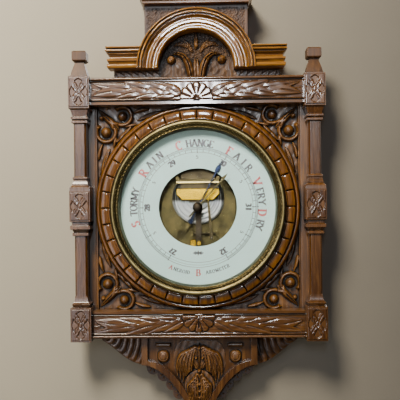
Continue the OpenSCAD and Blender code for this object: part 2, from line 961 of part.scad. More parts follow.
link_rod();
rocking_shaft();
rocking_posts();
arbor_cock();
cock_foot();
rear_cock();
hand_arbor();
indicating_hand();
hairspring();
chain();
adjusting_screw();
crest_board();
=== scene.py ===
import math
from contextlib import contextmanager

import bmesh
import bpy
import numpy as np
from mathutils import Matrix, Vector


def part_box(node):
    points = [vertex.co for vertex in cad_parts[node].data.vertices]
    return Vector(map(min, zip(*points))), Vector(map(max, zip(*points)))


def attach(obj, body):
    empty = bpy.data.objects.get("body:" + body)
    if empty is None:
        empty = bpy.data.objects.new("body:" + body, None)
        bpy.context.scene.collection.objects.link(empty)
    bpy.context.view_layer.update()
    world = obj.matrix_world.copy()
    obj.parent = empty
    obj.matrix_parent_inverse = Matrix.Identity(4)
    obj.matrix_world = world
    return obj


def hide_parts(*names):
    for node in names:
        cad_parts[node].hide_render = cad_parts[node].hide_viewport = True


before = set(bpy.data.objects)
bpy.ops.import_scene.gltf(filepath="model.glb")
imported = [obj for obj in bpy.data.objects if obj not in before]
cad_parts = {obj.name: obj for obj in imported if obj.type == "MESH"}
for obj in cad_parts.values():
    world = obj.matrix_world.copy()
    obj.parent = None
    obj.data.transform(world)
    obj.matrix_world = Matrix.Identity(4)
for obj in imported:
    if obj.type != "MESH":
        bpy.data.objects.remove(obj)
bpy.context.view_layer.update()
MM = 0.001
SIDES = ((-1, "left"), (1, "right"))


# ---- places from the CAD -------------------------------------------------

class Place:
    """A node's extent in millimetres: x, z and depth (distance from the wall)."""

    def __init__(self, node):
        low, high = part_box(node)
        self.x0, self.x1 = low.x / MM, high.x / MM
        self.z0, self.z1 = low.z / MM, high.z / MM
        self.d0, self.d1 = -high.y / MM, -low.y / MM


# ---- materials -----------------------------------------------------------

class Shader:
    """A node material with one Principled shader and short helpers."""

    def __init__(self, name):
        self.material = bpy.data.materials.new(name)
        self.material.use_nodes = True
        self.tree = self.material.node_tree
        self.tree.nodes.clear()
        self.out = self.add("ShaderNodeOutputMaterial")
        self.bsdf = self.add("ShaderNodeBsdfPrincipled")
        self.link(self.bsdf.outputs["BSDF"], self.out.inputs["Surface"])

    def add(self, kind, **values):
        node = self.tree.nodes.new(kind)
        for key, value in values.items():
            setattr(node, key, value)
        return node

    def link(self, a, b):
        self.tree.links.new(a, b)

    def put(self, socket, value):
        if hasattr(value, "is_linked"):
            self.link(value, socket)
        elif isinstance(value, (tuple, list)) and len(value) == 3 and socket.type == "RGBA":
            socket.default_value = (*value, 1)
        else:
            socket.default_value = value

    def set(self, **values):
        for key, value in values.items():
            self.put(self.bsdf.inputs[key.replace("_", " ")], value)

    def coords(self, scale=(1, 1, 1)):
        source = self.add("ShaderNodeTexCoord")
        mapping = self.add("ShaderNodeMapping")
        mapping.inputs["Scale"].default_value = scale
        self.link(source.outputs["Object"], mapping.inputs["Vector"])
        return mapping.outputs["Vector"]

    def noise(self, vector, scale, detail=4, rough=0.5, distortion=0):
        node = self.add("ShaderNodeTexNoise")
        self.link(vector, node.inputs["Vector"])
        node.inputs["Scale"].default_value = scale
        node.inputs["Detail"].default_value = detail
        node.inputs["Roughness"].default_value = rough
        node.inputs["Distortion"].default_value = distortion
        return node.outputs["Fac"]

    def ramp(self, fac, *stops):
        node = self.add("ShaderNodeValToRGB")
        elements = node.color_ramp.elements
        while len(elements) < len(stops):
            elements.new(0.5)
        for element, (at, value) in zip(elements, stops):
            element.position = at
            colour = value if isinstance(value, (tuple, list)) else (value, value, value)
            element.color = (*colour, 1)
        self.link(fac, node.inputs["Fac"])
        return node.outputs["Color"]

    def mix(self, fac, a, b):
        node = self.add("ShaderNodeMix", data_type="RGBA")
        self.put(node.inputs[0], fac)
        self.put(node.inputs[6], a)
        self.put(node.inputs[7], b)
        return node.outputs[2]

    def span(self, fac, low, high):
        node = self.add("ShaderNodeMapRange")
        self.link(fac, node.inputs["Value"])
        node.inputs["To Min"].default_value = low
        node.inputs["To Max"].default_value = high
        return node.outputs["Result"]

    def maths(self, kind, a, b):
        node = self.add("ShaderNodeMath", operation=kind)
        self.put(node.inputs[0], a)
        self.put(node.inputs[1], b)
        return node.outputs[0]

    def attribute(self, name):
        node = self.add("ShaderNodeAttribute", attribute_name=name)
        return node.outputs["Fac"]

    def crevice(self, distance):
        """1 in the open and 0 deep in a corner."""
        node = self.add("ShaderNodeAmbientOcclusion", samples=6)
        node.inputs["Distance"].default_value = distance
        return node.outputs["AO"]

    def bump(self, height, strength, distance):
        node = self.add("ShaderNodeBump")
        node.inputs["Strength"].default_value = strength
        node.inputs["Distance"].default_value = distance
        self.link(height, node.inputs["Height"])
        self.link(node.outputs["Normal"], self.bsdf.inputs["Normal"])

    def see_through(self, amount):
        """Lets rays straight through where the amount is 1."""
        clear = self.add("ShaderNodeBsdfTransparent")
        both = self.add("ShaderNodeMixShader")
        self.link(amount, both.inputs[0])
        self.link(self.bsdf.outputs["BSDF"], both.inputs[1])
        self.link(clear.outputs["BSDF"], both.inputs[2])
        self.link(both.outputs["Shader"], self.out.inputs["Surface"])


def scaled(colour, factor):
    return tuple(factor * c for c in colour)


def walnut(name, grain="z", dark=(0.023, 0.00697, 0.00082), mid=(0.0943, 0.0353, 0.00344),
           light=(0.205, 0.0902, 0.0115), rough=(0.25, 0.35), coat=0.15, gloss=0.16,
           specular=0.4, edge_rub_and_highlight=0.2):
    """Polished carved walnut: figure, pores, painted shade in the hollows and corners, and rubbed
    edges that are lighter, partly from wear and partly as a painted highlight. gloss is the coat's
    roughness, and edge_rub_and_highlight is how far the rubbed edges show."""
    # The near-black colour of the painted shade in recesses and corners.
    painted_shade = (0.004, 0.002, 0.0006)
    s = Shader(name)
    axis = "xyz".index(grain)

    def stretch(amount):
        return tuple(amount if i == axis else 1 for i in range(3))

    figure = s.noise(s.coords(stretch(0.07)), 260, 7, 0.6, 0.6)
    cloud = s.noise(s.coords(stretch(0.3)), 34, 3, 0.5, 0.3)
    pores = s.noise(s.coords(stretch(0.035)), 2100, 2, 0.5)
    colour = s.ramp(figure, (0.28, dark), (0.5, mid), (0.74, light))
    colour = s.mix(s.ramp(cloud, (0.35, 0.0), (0.7, 0.55)), colour, scaled(mid, 0.45))
    colour = s.mix(s.ramp(pores, (0.58, 0.0), (0.7, 0.6)), colour, scaled(dark, 0.4))
    # Lighter on sharp edges: partly wear, partly a painted highlight.
    point = s.add("ShaderNodeNewGeometry").outputs["Pointiness"]
    rub_and_highlight = s.ramp(point, (0.52, 0.0), (0.6, edge_rub_and_highlight))
    colour = s.mix(rub_and_highlight, colour, tuple(min(1, 1.5 * c + 0.03) for c in light))
    # Painted shade: near black where the mesh's hollow attribute marks a recess.
    hollow = s.attribute("hollow")
    colour = s.mix(s.ramp(hollow, (0.05, 0.0), (0.75, 0.94)), colour, painted_shade)
    # Painted shade: near black in corners, where the ambient occlusion finds them.
    open_ = s.crevice(0.006)
    colour = s.mix(s.ramp(open_, (0.25, 0.9), (0.85, 0.0)), colour, painted_shade)
    s.set(Base_Color=colour)
    s.set(Roughness=s.maths("ADD", s.span(figure, *rough), s.maths("MULTIPLY", hollow, 0.5)))
    s.set(Coat_Weight=coat, Coat_Roughness=gloss, Specular_IOR_Level=specular)
    relief = s.maths("ADD", s.maths("MULTIPLY", figure, 0.6), s.maths("MULTIPLY", pores, -0.5))
    s.bump(relief, 0.22, 0.0004)
    return s.material


def metal(name, light, dark, rough, scale=60):
    """Worn metal with tarnish clouds, fine scratches, and darkening in its corners that is partly
    tarnish and partly painted shade.
    """
    s = Shader(name)
    cloud = s.noise(s.coords(), scale, 5, 0.6, 0.4)
    fine = s.noise(s.coords((1, 1, 0.12)), 1500, 3)
    colour = s.ramp(cloud, (0.32, dark), (0.62, light))
    colour = s.mix(s.ramp(fine, (0.5, 0.0), (0.8, 0.3)), colour, dark)
    # Darker in corners found by ambient occlusion: partly tarnish, partly painted shade.
    open_ = s.crevice(0.004)
    colour = s.mix(s.ramp(open_, (0.3, 0.6), (0.85, 0.0)), colour, scaled(dark, 0.25))
    s.set(Base_Color=colour, Metallic=1.0)
    s.set(Roughness=s.span(cloud, rough[1], rough[0]))
    s.bump(fine, 0.12, 0.00015)
    return s.material


def two_tone(name, level, lower, upper, rough, soft=1.0):
    """Metal of one colour below a level above the dial's axis, in mm, and of another
    colour above it. A larger soft makes the change between them slower."""
    s = Shader(name)
    height = s.add("ShaderNodeSeparateXYZ")
    s.link(s.coords(), height.inputs[0])
    above = s.maths("SUBTRACT", s.maths("MULTIPLY", height.outputs[2], 1 / MM), level)
    step = s.maths("ADD", s.maths("MULTIPLY", above, 0.4 / soft), 0.5)
    cloud = s.noise(s.coords(), 160, 5, 0.6, 0.4)
    top = s.ramp(cloud, (0.3, scaled(upper, 0.55)), (0.62, upper))
    s.set(Base_Color=s.mix(s.ramp(step, (0.3, 0.0), (0.7, 1.0)), lower, top), Metallic=1.0)
    s.set(Roughness=s.span(cloud, *rough))
    s.bump(cloud, 0.15, 0.0002)
    return s.material


def enamel():
    """A painted white dial card, a little cold, with age clouds and specks."""
    s = Shader("enamel_white")
    cloud = s.noise(s.coords(), 26, 5, 0.6, 0.5)
    speck = s.noise(s.coords(), 520, 2, 0.7)
    colour = s.ramp(cloud, (0.3, (0.58, 0.86, 0.88)), (0.65, (0.63, 0.94, 0.96)))
    colour = s.mix(s.ramp(speck, (0.68, 0.0), (0.78, 0.3)), colour, (0.34, 0.36, 0.3))
    # Painted shade: darker in corners and next to other parts, where the ambient occlusion finds
    # them.
    open_ = s.crevice(0.005)
    colour = s.mix(s.ramp(open_, (0.3, 0.55), (0.8, 0.0)), colour, (0.2, 0.2, 0.16))
    s.set(Base_Color=colour, Roughness=s.span(cloud, 0.8, 0.65))
    s.set(Specular_IOR_Level=0.2)
    s.bump(speck, 0.05, 0.0001)
    return s.material


def ink(name, colour):
    s = Shader(name)
    worn = s.noise(s.coords(), 900, 3, 0.6)
    faded = tuple(0.05 + 1.5 * c for c in colour)
    s.set(Base_Color=s.ramp(worn, (0.3, colour), (0.75, faded)))
    s.set(Roughness=s.span(worn, 0.35, 0.5))
    return s.material


def window_glass():
    """Clear glass that lets the lamps through to the dial."""
    s = Shader("clear_glass")
    haze = s.noise(s.coords(), 40, 3)
    s.set(Base_Color=(0.96, 0.985, 0.98), Transmission_Weight=1.0, IOR=1.5)
    s.set(Roughness=s.span(haze, 0.0, 0.02))
    rays = s.add("ShaderNodeLightPath").outputs
    s.see_through(s.maths("MAXIMUM", rays["Is Shadow Ray"], rays["Is Diffuse Ray"]))
    return s.material


def plaster(name, light, dark):
    """Matt wall paint with painted shade: it darkens slowly from the left to the right, as the
    light falls off. It is clear from behind and to the lamps, so that the object's back can be seen
    and lit."""
    s = Shader(name)
    across = s.add("ShaderNodeSeparateXYZ")
    s.link(s.coords(), across.inputs[0])
    broad = s.noise(s.coords(), 5, 3)
    # Painted shade: darker towards +x.
    side = s.maths("ADD", s.maths("MULTIPLY", across.outputs[0], 1.35), 0.42)
    shade = s.maths("ADD", side, s.maths("MULTIPLY", broad, 0.16))
    grain = s.noise(s.coords(), 320, 3, 0.6)
    s.set(Base_Color=s.mix(s.ramp(shade, (0.1, 0.0), (0.95, 1.0)), light, dark))
    s.set(Roughness=s.span(grain, 0.8, 0.95))
    s.bump(grain, 0.25, 0.0005)
    behind = s.add("ShaderNodeNewGeometry").outputs["Backfacing"]
    to_lamp = s.add("ShaderNodeLightPath").outputs["Is Shadow Ray"]
    s.see_through(s.maths("MAXIMUM", behind, to_lamp))
    return s.material


wood = {
    "panel": walnut("walnut_panel", coat=0.08, specular=0.3),
    "pillar": walnut("walnut_pillar", mid=(0.08, 0.029, 0.0028), light=(0.172, 0.073, 0.0093),
                     rough=(0.22, 0.32), coat=0.24, specular=0.35),
    "rail": walnut("walnut_rail", "x", rough=(0.3, 0.42), coat=0.5, gloss=0.12, specular=0.14),
    "carving": walnut("walnut_carving", dark=(0.028, 0.0085, 0.001), mid=(0.118, 0.047, 0.0045),
                      light=(0.235, 0.104, 0.012), rough=(0.4, 0.5), coat=0.04, specular=0.25,
                      edge_rub_and_highlight=0.3),
    "ring": walnut("walnut_ring", mid=(0.135, 0.05, 0.0028), light=(0.26, 0.11, 0.0085),
                   rough=(0.36, 0.46), coat=0.45, gloss=0.09, specular=0.06, edge_rub_and_highlight=0.3),
    "moulding": walnut("walnut_moulding", "x", dark=(0.058, 0.019, 0.0016),
                       mid=(0.215, 0.088, 0.0066), light=(0.39, 0.178, 0.0165),
                       rough=(0.4, 0.5), coat=0.45, gloss=0.05, specular=0.05),
    "crest": walnut("walnut_crest", dark=(0.0131, 0.0041, 0.00082), mid=(0.06, 0.022, 0.0029),
                    light=(0.11, 0.046, 0.0075), rough=(0.4, 0.52), coat=0.0, specular=0.2),
    "board": walnut("walnut_board", dark=(0.0131, 0.0041, 0.00082), mid=(0.055, 0.0185, 0.0025),
                    light=(0.092, 0.037, 0.0066), rough=(0.5, 0.65), coat=0.02, specular=0.25),
}
brass = metal("lacquered_brass_worn", (0.13, 0.102, 0.042), (0.055, 0.042, 0.016), (0.34, 0.46))
old_brass = metal("brass_browned", (0.1, 0.08, 0.036), (0.03, 0.025, 0.013), (0.25, 0.42))
gilt = metal("movement_brass_bright", (0.52, 0.31, 0.013), (0.29, 0.16, 0.008), (0.2, 0.28))
# Dark brass for the parts inside the case: partly tarnish, partly painted shade of the case's
# interior.
dull_shaded_brass = metal("movement_brass_dull_shaded", (0.055, 0.043, 0.016), (0.017, 0.014, 0.006), (0.4, 0.6))
blued = metal("blued_steel_hand", (0.012, 0.017, 0.034), (0.006, 0.007, 0.012), (0.2, 0.34), 200)
steel = metal("bright_steel_worn", (0.3, 0.3, 0.29), (0.14, 0.135, 0.13), (0.28, 0.45))
spring = metal("spring_steel_grey", (0.045, 0.034, 0.017), (0.016, 0.012, 0.007), (0.35, 0.5))
iron = metal("blackened_iron_cock", (0.021, 0.016, 0.01), (0.009, 0.007, 0.0045), (0.4, 0.55))
lever_brass = two_tone("lever_brass", 9.2, (0.06, 0.045, 0.02), (0.42, 0.25, 0.008), (0.3, 0.2))
# Painted shade: the capsule is dark above 8 mm.
capsule_metal = two_tone("nickel_silver_capsule", 8.0, (0.24, 0.24, 0.225), (0.035, 0.033, 0.026),
                         (0.45, 0.3), 4.0)
# Painted shadow: the cross bar is dark above 33.2 mm.
bar_brass = two_tone("cross_bar_brass", 33.2, (0.5, 0.37, 0.13), (0.05, 0.038, 0.016), (0.3, 0.2))
dial_white = enamel()
ink_black = ink("dial_ink_black", (0.014, 0.014, 0.016))
ink_red = ink("dial_ink_red", (0.36, 0.03, 0.025))
clear_glass = window_glass()


# ---- making pieces -------------------------------------------------------

def unit(field):
    """The field kept between 0 and 1."""
    return np.clip(field, 0, 1)


@contextmanager
def editing(mesh):
    bm = bmesh.new()
    bm.from_mesh(mesh)
    yield bm
    bm.to_mesh(mesh)
    bm.free()


def keep_sharp(mesh, degrees):
    """Smooth shading with crisp edges where faces meet at more than an angle."""
    limit = math.radians(degrees)
    with editing(mesh) as bm:
        for face in bm.faces:
            face.smooth = True
        for edge in bm.edges:
            edge.smooth = len(edge.link_faces) == 2 and edge.calc_face_angle(4) < limit


def shown(mesh, material, body, stands_for):
    """A visible piece made of a mesh."""
    mesh.materials.clear()
    mesh.materials.append(material)
    obj = bpy.data.objects.new(mesh.name, mesh)
    bpy.context.scene.collection.objects.link(obj)
    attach(obj, body)
    if stands_for:
        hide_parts(*stands_for)
    return obj


def piece(name, verts, faces, material, body="case", sharp=40, hollow=None, stands_for=()):
    """A finished mesh piece, from points in millimetres. hollow is how much painted shade each
    point gets.
    """
    mesh = bpy.data.meshes.new(name)
    mesh.from_pydata((np.asarray(verts, float) * MM).tolist(), [], faces)
    if hollow is not None:
        layer = mesh.attributes.new("hollow", "FLOAT", "POINT")
        layer.data.foreach_set("value", unit(hollow).astype(np.float32))
    with editing(mesh) as bm:
        bmesh.ops.recalc_face_normals(bm, faces=bm.faces)
    keep_sharp(mesh, sharp)
    return shown(mesh, material, body, stands_for)


def softened(node, width, material, slot, body="case", segments=2, long_edges=None):
    """A copy of a CAD node's mesh with its edges rounded over, shown in its place.
    long_edges is (least length, width) in mm: such edges get a wider chamfer first."""
    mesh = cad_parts[node].data.copy()
    mesh.name = node + "_finished"
    with editing(mesh) as bm:
        bmesh.ops.remove_doubles(bm, verts=bm.verts, dist=2e-6)
        bmesh.ops.dissolve_degenerate(bm, edges=bm.edges, dist=1e-6)
        bmesh.ops.dissolve_limit(bm, angle_limit=math.radians(0.8), verts=bm.verts, edges=bm.edges)
        if long_edges:
            chosen = [e for e in bm.edges if e.calc_length() > long_edges[0] * MM
                      and len(e.link_faces) == 2 and e.calc_face_angle(0) > 1.2]
            bmesh.ops.bevel(bm, geom=chosen, offset=long_edges[1] * MM, segments=1, profile=0.5,
                            affect="EDGES", offset_type="OFFSET", clamp_overlap=True)
    keep_sharp(mesh, 30)
    obj = shown(mesh, material, body, [node])
    bevel = obj.modifiers.new("edges", "BEVEL")
    bevel.width = width * MM
    bevel.segments = segments
    bevel.limit_method = "ANGLE"
    bevel.angle_limit = math.radians(28)
    bevel.harden_normals = True
    bevel.miter_outer = "MITER_ARC"
    weighted = obj.modifiers.new("normals", "WEIGHTED_NORMAL")
    weighted.weight = 90
    weighted.keep_sharp = True


def blurred(field, reach):
    """The field averaged over a square of 2 * reach + 1 samples, twice."""
    for _ in range(2):
        for axis in (0, 1):
            padded = np.pad(field, [(reach + 1, reach) if a == axis else (0, 0) for a in (0, 1)],
                            mode="edge")
            total = np.cumsum(padded, axis=axis)
            n = 2 * reach + 1
            upper = np.take(total, range(n, total.shape[axis]), axis=axis)
            lower = np.take(total, range(0, total.shape[axis] - n), axis=axis)
            field = (upper - lower) / n
    return field


def relief(name, us, vs, depth, back, material, keep=None, snap=None, shift=0, stands_for=(),
           reach=3, dark=1.4, painted_shade=None, slot="carved_wood"):
    """A solid whose front is a carved height field over x = us and z = vs, and whose back is
    flat. keep says which cells are part of it, and snap moves the lattice's points. Painted shade
    lies where the front is lower than the mean of the samples within reach, over a scale of dark
    mm, and painted_shade, if given, adds more."""
    U, V = np.meshgrid(us, vs, indexing="ij")
    if snap is not None:
        U, V = snap(U, V)
    D = depth(U, V)
    # How much painted shade each point gets: more where the front lies low.
    hollow = (blurred(D, reach) - D) / dark
    if painted_shade is not None:
        hollow = np.maximum(hollow, painted_shade(U, V))
    nu, nv = U.shape
    index = np.arange(nu * nv).reshape(nu, nv)
    centre = [(a[:-1, :-1] + a[1:, :-1] + a[1:, 1:] + a[:-1, 1:]) / 4 for a in (U, V)]
    kept = np.ones((nu - 1, nv - 1), bool) if keep is None else keep(*centre)
    quads = np.stack([index[:-1, :-1], index[1:, :-1], index[1:, 1:], index[:-1, 1:]], -1)[kept]
    sides = dict.fromkeys((a, b) for quad in quads.tolist()
                          for a, b in zip(quad, quad[1:] + quad[:1]))
    rim = {a: b for a, b in sides if (b, a) not in sides}
    used = np.unique(quads)
    number = {int(old): new for new, old in enumerate(used)}
    front = np.stack([U.ravel()[used], -D.ravel()[used], V.ravel()[used]], -1)
    faces = [[number[i] for i in quad] for quad in quads.tolist()]
    verts = [tuple(v) for v in front]
    shade = list(hollow.ravel()[used])
    behind = {}
    for a in rim:
        behind[a] = len(verts)
        x, _, z = front[number[a]]
        verts.append((x, -back, z))
        shade.append(0.0)
    for a, b in rim.items():
        faces.append([number[b], number[a], behind[a], behind[b]])
    left = dict(rim)
    while left:
        start = next(iter(left))
        loop = [start]
        at = left.pop(start)
        while at != start:
            loop.append(at)
            at = left.pop(at)
        faces.append([behind[i] for i in reversed(loop)])
    return piece(name, np.array(verts) + shift, faces, material, sharp=60,
                 hollow=np.array(shade), stands_for=stands_for)


def revolved(name, section, n, material, shape, body="case", stands_for=()):
    """A ring about the dial's axis from a closed section of (radius, depth).
    shape(R, D, A) carves it: it returns new R, new D and how hollow each point is."""
    section = np.array(section, float)
    A = np.linspace(0, 2 * math.pi, n, endpoint=False)[:, None] + 0 * section[None, :, 0]
    R = section[None, :, 0] + 0 * A
    D = section[None, :, 1] + 0 * A
    R, D, hollow = shape(R, D, A)
    verts = np.stack([R * np.sin(A), -D, R * np.cos(A)], -1).reshape(-1, 3)
    m = len(section)
    i = np.arange(n)[:, None]
    j = np.arange(m)[None, :]
    quads = np.stack([i * m + j, (i + 1) % n * m + j, (i + 1) % n * m + (j + 1) % m,
                      i * m + (j + 1) % m], -1).reshape(-1, 4)
    return piece(name, verts, quads.tolist(), material, body, hollow=hollow.ravel(),
                 stands_for=stands_for)


def spread(a, b, step):
    """Evenly spaced values from a to b, about step apart."""
    return np.linspace(a, b, max(2, int(round(abs(b - a) / step)) + 1))


def lattice(*parts):
    """Joined runs of spread() values, without repeats."""
    return np.unique(np.round(np.concatenate(parts), 5))


# ---- carving strokes -----------------------------------------------------

def ridge(across, width):
    """1 on a line and falling to 0 on both sides of it."""
    return np.exp(-(across / width) ** 2)


def highest(*fields):
    return np.maximum.reduce(fields)


def bend(points, t):
    """Points on the Bezier curve through 2, 3 or 4 control points."""
    p = [np.array(q, float) for q in points]
    t = np.asarray(t)[:, None]
    while len(p) > 1:
        p = [a + (b - a) * t for a, b in zip(p, p[1:])]
    return p[0]


def follow(U, V, line):
    """For each point: how far along the line it is, from 0 to 1, and its distance from it."""
    best = np.full(U.shape, 1e9)
    where = np.zeros(U.shape)
    lengths = np.hypot(*(line[1:] - line[:-1]).T)
    total = lengths.sum()
    run = 0.0
    for (a, b), length in zip(zip(line, line[1:]), lengths):
        du, dv = (b - a) / max(length, 1e-9)
        s = np.clip((U - a[0]) * du + (V - a[1]) * dv, 0, length)
        ou, ov = U - a[0] - s * du, V - a[1] - s * dv
        gap = np.hypot(ou, ov)
        closer = gap < best
        best = np.where(closer, gap, best)
        where = np.where(closer, (run + s) / total, where)
        run += length
    return where, best


def leaf(U, V, points, width, height, fullness=0.75, rib=0.35, flat=0.0):
    """The height of a tapering carved leaf along a curve, 0 outside it. rib is the depth of
    the cut along its middle, and flat is how much of its top is flat."""
    line = bend(points, np.linspace(0, 1, 22))
    low, high = line.min(0) - width, line.max(0) + width
    near = (U >= low[0]) & (U <= high[0]) & (V >= low[1]) & (V <= high[1])
    field = np.zeros(U.shape)
    if not near.any():
        return field
    t, gap = follow(U[near], V[near], line)
    half = width * unit(np.sin(math.pi * np.clip(t, 0.001, 0.999) ** fullness)) ** 0.75
    half = half + 0.12 * width * (1 - t)
    across = gap / np.maximum(half, 0.05)
    bulge = np.sqrt(unit(1 - across ** 2))
    top = bulge * (1 - flat) + flat * unit(4 * (1 - across))
    top = top * (1 - rib * ridge(gap, 0.55))
    field[near] = np.where(across < 1, height * top * (0.55 + 0.45 * np.sin(math.pi * t ** 0.8)), 0)
    return field


def dome(U, V, at, r, height):
    gap = np.hypot(U - at[0], V - at[1]) / r
    return height * np.sqrt(unit(1 - gap ** 2))


def hoop(U, V, at, r, width, height, start, sweep):
    """Part of a raised ring; angles run anticlockwise from +u, in degrees."""
    gap = np.abs(np.hypot(U - at[0], V - at[1]) - r) / width
    angle = (np.degrees(np.arctan2(V - at[1], U - at[0])) - start) % 360
    ends = unit(np.minimum(angle, sweep - angle) / 14)
    return height * np.sqrt(unit(1 - gap ** 2)) * np.where(angle <= sweep, ends, 0)


def stipple(U, V, pitch, amount, seed):
    """A punched ground: little dents on a jittered lattice."""
    a, b = np.floor(U / pitch), np.floor(V / pitch)
    best = np.full(U.shape, 9.0)
    for i in (-1, 0, 1):
        for j in (-1, 0, 1):
            m, n = a + i, b + j
            jig = np.sin(m * 127.1 + n * 311.7 + seed) * 43758.5453
            jog = np.sin(m * 269.5 + n * 183.3 + seed) * 24634.6345
            u = (m + 0.2 + 0.6 * (jig - np.floor(jig))) * pitch
            v = (n + 0.2 + 0.6 * (jog - np.floor(jog))) * pitch
            best = np.minimum(best, np.hypot(U - u, V - v) / pitch)
    return -amount * unit(1 - best * 2.1) ** 0.7


def waver(U, V, scale, amount, seed):
    """A slow unevenness, as from a gouge, made of a few waves."""
    rng = np.random.default_rng(seed)
    total = np.zeros(U.shape)
    for _ in range(6):
        angle, phase = rng.uniform(0, 2 * math.pi, 2)
        k = 2 * math.pi / (scale * rng.uniform(0.6, 1.6))
        total += np.sin(k * (U * math.cos(angle) + V * math.sin(angle)) + phase)
    return amount * total / 6


# ---- the carved panel round the dial -------------------------------------

panel = Place("carved_panel")
surround = Place("bezel_surround")
top_rail = Place("top_rail")
ring_r = surround.x1
face = panel.d1

# The leaves in half of a corner: curve, half width, height and rib
CORNER_LEAVES = [([(94, 96), (97, 88), (106, 84)], 3.2, 5.6, 0),
                 ([(100, 108), (108, 107), (119, 114)], 3.2, 6.4, 0),
                 ([(122, 40), (120, 60), (112, 77)], 3.6, 5.4, 0.25),
                 ([(104, 92), (106, 84), (107.5, 76)], 2.3, 5.0, 0),
                 ([(127, 62), (127, 72), (121, 84)], 2.4, 5.0, 0),
                 ([(126, 10), (127, 26), (125.4, 46)], 1.9, 3.2, 0)]


def spandrel_depth(U, V):
    """Depth of the carving in one corner of the panel, the same in all four."""
    u, v = np.abs(U), np.abs(V)
    h = np.zeros(u.shape)
    for a, b, near in ((u, v, True), (v, u, False)):
        volute = (117.0, 97.4) if near else (118.0, 95.8)
        size = 6.8 if near else 6.2
        h = highest(h, hoop(a, b, volute, size + 5.4, 2.7, 5.4, -215, 262),
                    *(leaf(a, b, curve, width, height, rib=rib)
                      for curve, width, height, rib in CORNER_LEAVES))
        ball = dome(a, b, volute, size, 7.6)
        gap = np.hypot(a - volute[0], b - volute[1])
        low_side = unit((volute[1] - b if near else a - volute[0]) / size)
        cut = 1.1 * ridge(gap - 0.72 * size, 0.42) * low_side
        h = np.where(gap < size + 2.2, np.maximum(ball - cut, 0), h)
    h = highest(h, leaf(u, v, [(101, 101), (112, 112), (127, 127)], 4.2, 6.8, rib=0.5),
                dome(u, v, (122.5, 116), 3.4, 6.6))
    depth = face - 3.4 + waver(u, v, 11, 0.5, 5) + h
    edge = unit((u - 128.2) / 0.6)
    depth = depth * (1 - edge) + (face - 0.1) * edge
    return np.where(u > panel.x1 - 0.01, face, depth - 0.7 * ridge(u - 131.2, 0.45))


def outside_ring(U, V):
    return np.hypot(U, V) > ring_r - 6


for sx, sz, corner in ((-1, 1, "top_left"), (1, 1, "top_right"),
                       (-1, -1, "bottom_left"), (1, -1, "bottom_right")):
    us = sx * lattice([0, 40], spread(40, 139, 0.62), [panel.x1])
    vs = sz * lattice([0, 12], spread(12, top_rail.z0 + 1, 0.62), [panel.z1])
    relief("carved_panel_" + corner, np.sort(us), np.sort(vs), spandrel_depth, panel.d0,
           wood["carving"], keep=outside_ring, stands_for=["carved_panel"], dark=2.6)


# ---- the turned surround and bezel ---------------------------------------

BLOCKS = 36
BORE = 103.6
bezel = Place("bezel")
surround_in = bezel.x1 + 0.2


def carve_surround(R, D, A):
    """Gouge cuts that part the flat band into slightly pillowed blocks, with painted shade in the
    cuts.
    """
    band = (R > surround_in + 1.2) & (R < surround_in + 12.9) & (D > 40)
    across = unit((R - surround_in - 1.2) / 11.7)
    wave = np.cos(BLOCKS * A)
    deep = unit(wave) ** 40
    pillow = unit(wave) ** 4
    cut = np.where(band, (1.9 * deep + 0.2 * pillow) * np.sin(math.pi * across) ** 0.3, 0)
    slack = 0.25 * np.sin(11 * A + 2) * np.sin(3 * A) * (D > 37)
    return R, D - cut - 0.3 * np.abs(slack), np.where(band, deep, 0)


section = [(BORE, surround.d0 + 8.2), (110.4, surround.d0 + 8.2), (surround_in + 0.2, 42.4)]
section += [(surround_in + 1.4 - 1.3 * math.cos(a), 42.5 + 1.4 * math.sin(a))
            for a in np.linspace(0.3, math.pi - 0.5, 7)]
section += [(r, 42.9 - 0.5 * ((r - 117.6) / 4.4) ** 2) for r in np.linspace(113.6, 122.0, 13)]
section += [(122.8, 41.2), (123.4, 39.4), (123.8, 37.8), (124.3, 37.4)]
section += [(126.6 - 2.2 * math.cos(a), 36.6 + 1.7 * math.sin(a))
            for a in np.linspace(0.2, math.pi - 0.3, 9)]
section += [(129.2, 35.4), (129.9, 34.2), (130.5, 33), (ring_r, 31), (ring_r, surround.d0),
            (BORE, surround.d0)]
ring = revolved("turned_surround", section, 40 * BLOCKS, wood["ring"],
                carve_surround, stands_for=["bezel_surround"])
for vertex in ring.data.vertices:
    vertex.co.z = max(surround.z0 * MM, min(surround.z1 * MM, vertex.co.z))

front = bezel.d1
ROPE_R = 103.3
STRANDS = 132


def twist_bezel(R, D, A):
    """A rope twist between the bezel's bead and its sloped inner wall."""
    inside = unit(1 - ((R - ROPE_R) / 1.75) ** 2) * (D > front - 6)
    strand = np.cos(STRANDS * A + 2.4 * (R - ROPE_R))
    lift = inside ** 0.5 * (1.15 + 0.75 * strand)
    return R, D + np.where(inside > 0, lift, 0), inside * unit(-strand) * 0.7


section = [(103.1, bezel.d0), (104.2, bezel.d0), (104.2, 43.5), (bezel.x1 - 1.2, 43.5),
           (bezel.x1 - 1.2, bezel.d0), (bezel.x1, bezel.d0), (bezel.x1, front - 3.6)]
section += [(bezel.x1 - 3 + 3 * math.cos(a), front - 3 + 3 * math.sin(a))
            for a in np.linspace(0.05, 2.75, 11)]
section += [(104.9, front - 3.0)]
section += [(r, front - 3.9) for r in np.linspace(104.7, 101.9, 9)]
section += [(101.6, front - 3.8), (101.0, front - 3.2), (100.5, front - 3.6), (99.9, front - 4.1),
            (99.8, front - 4.5), (99.8, 45.3), (103.1, 45.3)]
revolved("bezel_turned", section, 12 * STRANDS, brass, twist_bezel,
         stands_for=["bezel"])


# ---- rails with acanthus and a fan ---------------------------------------

near = top_rail.z0
LEAF_BAND = (5.6, 28.9)
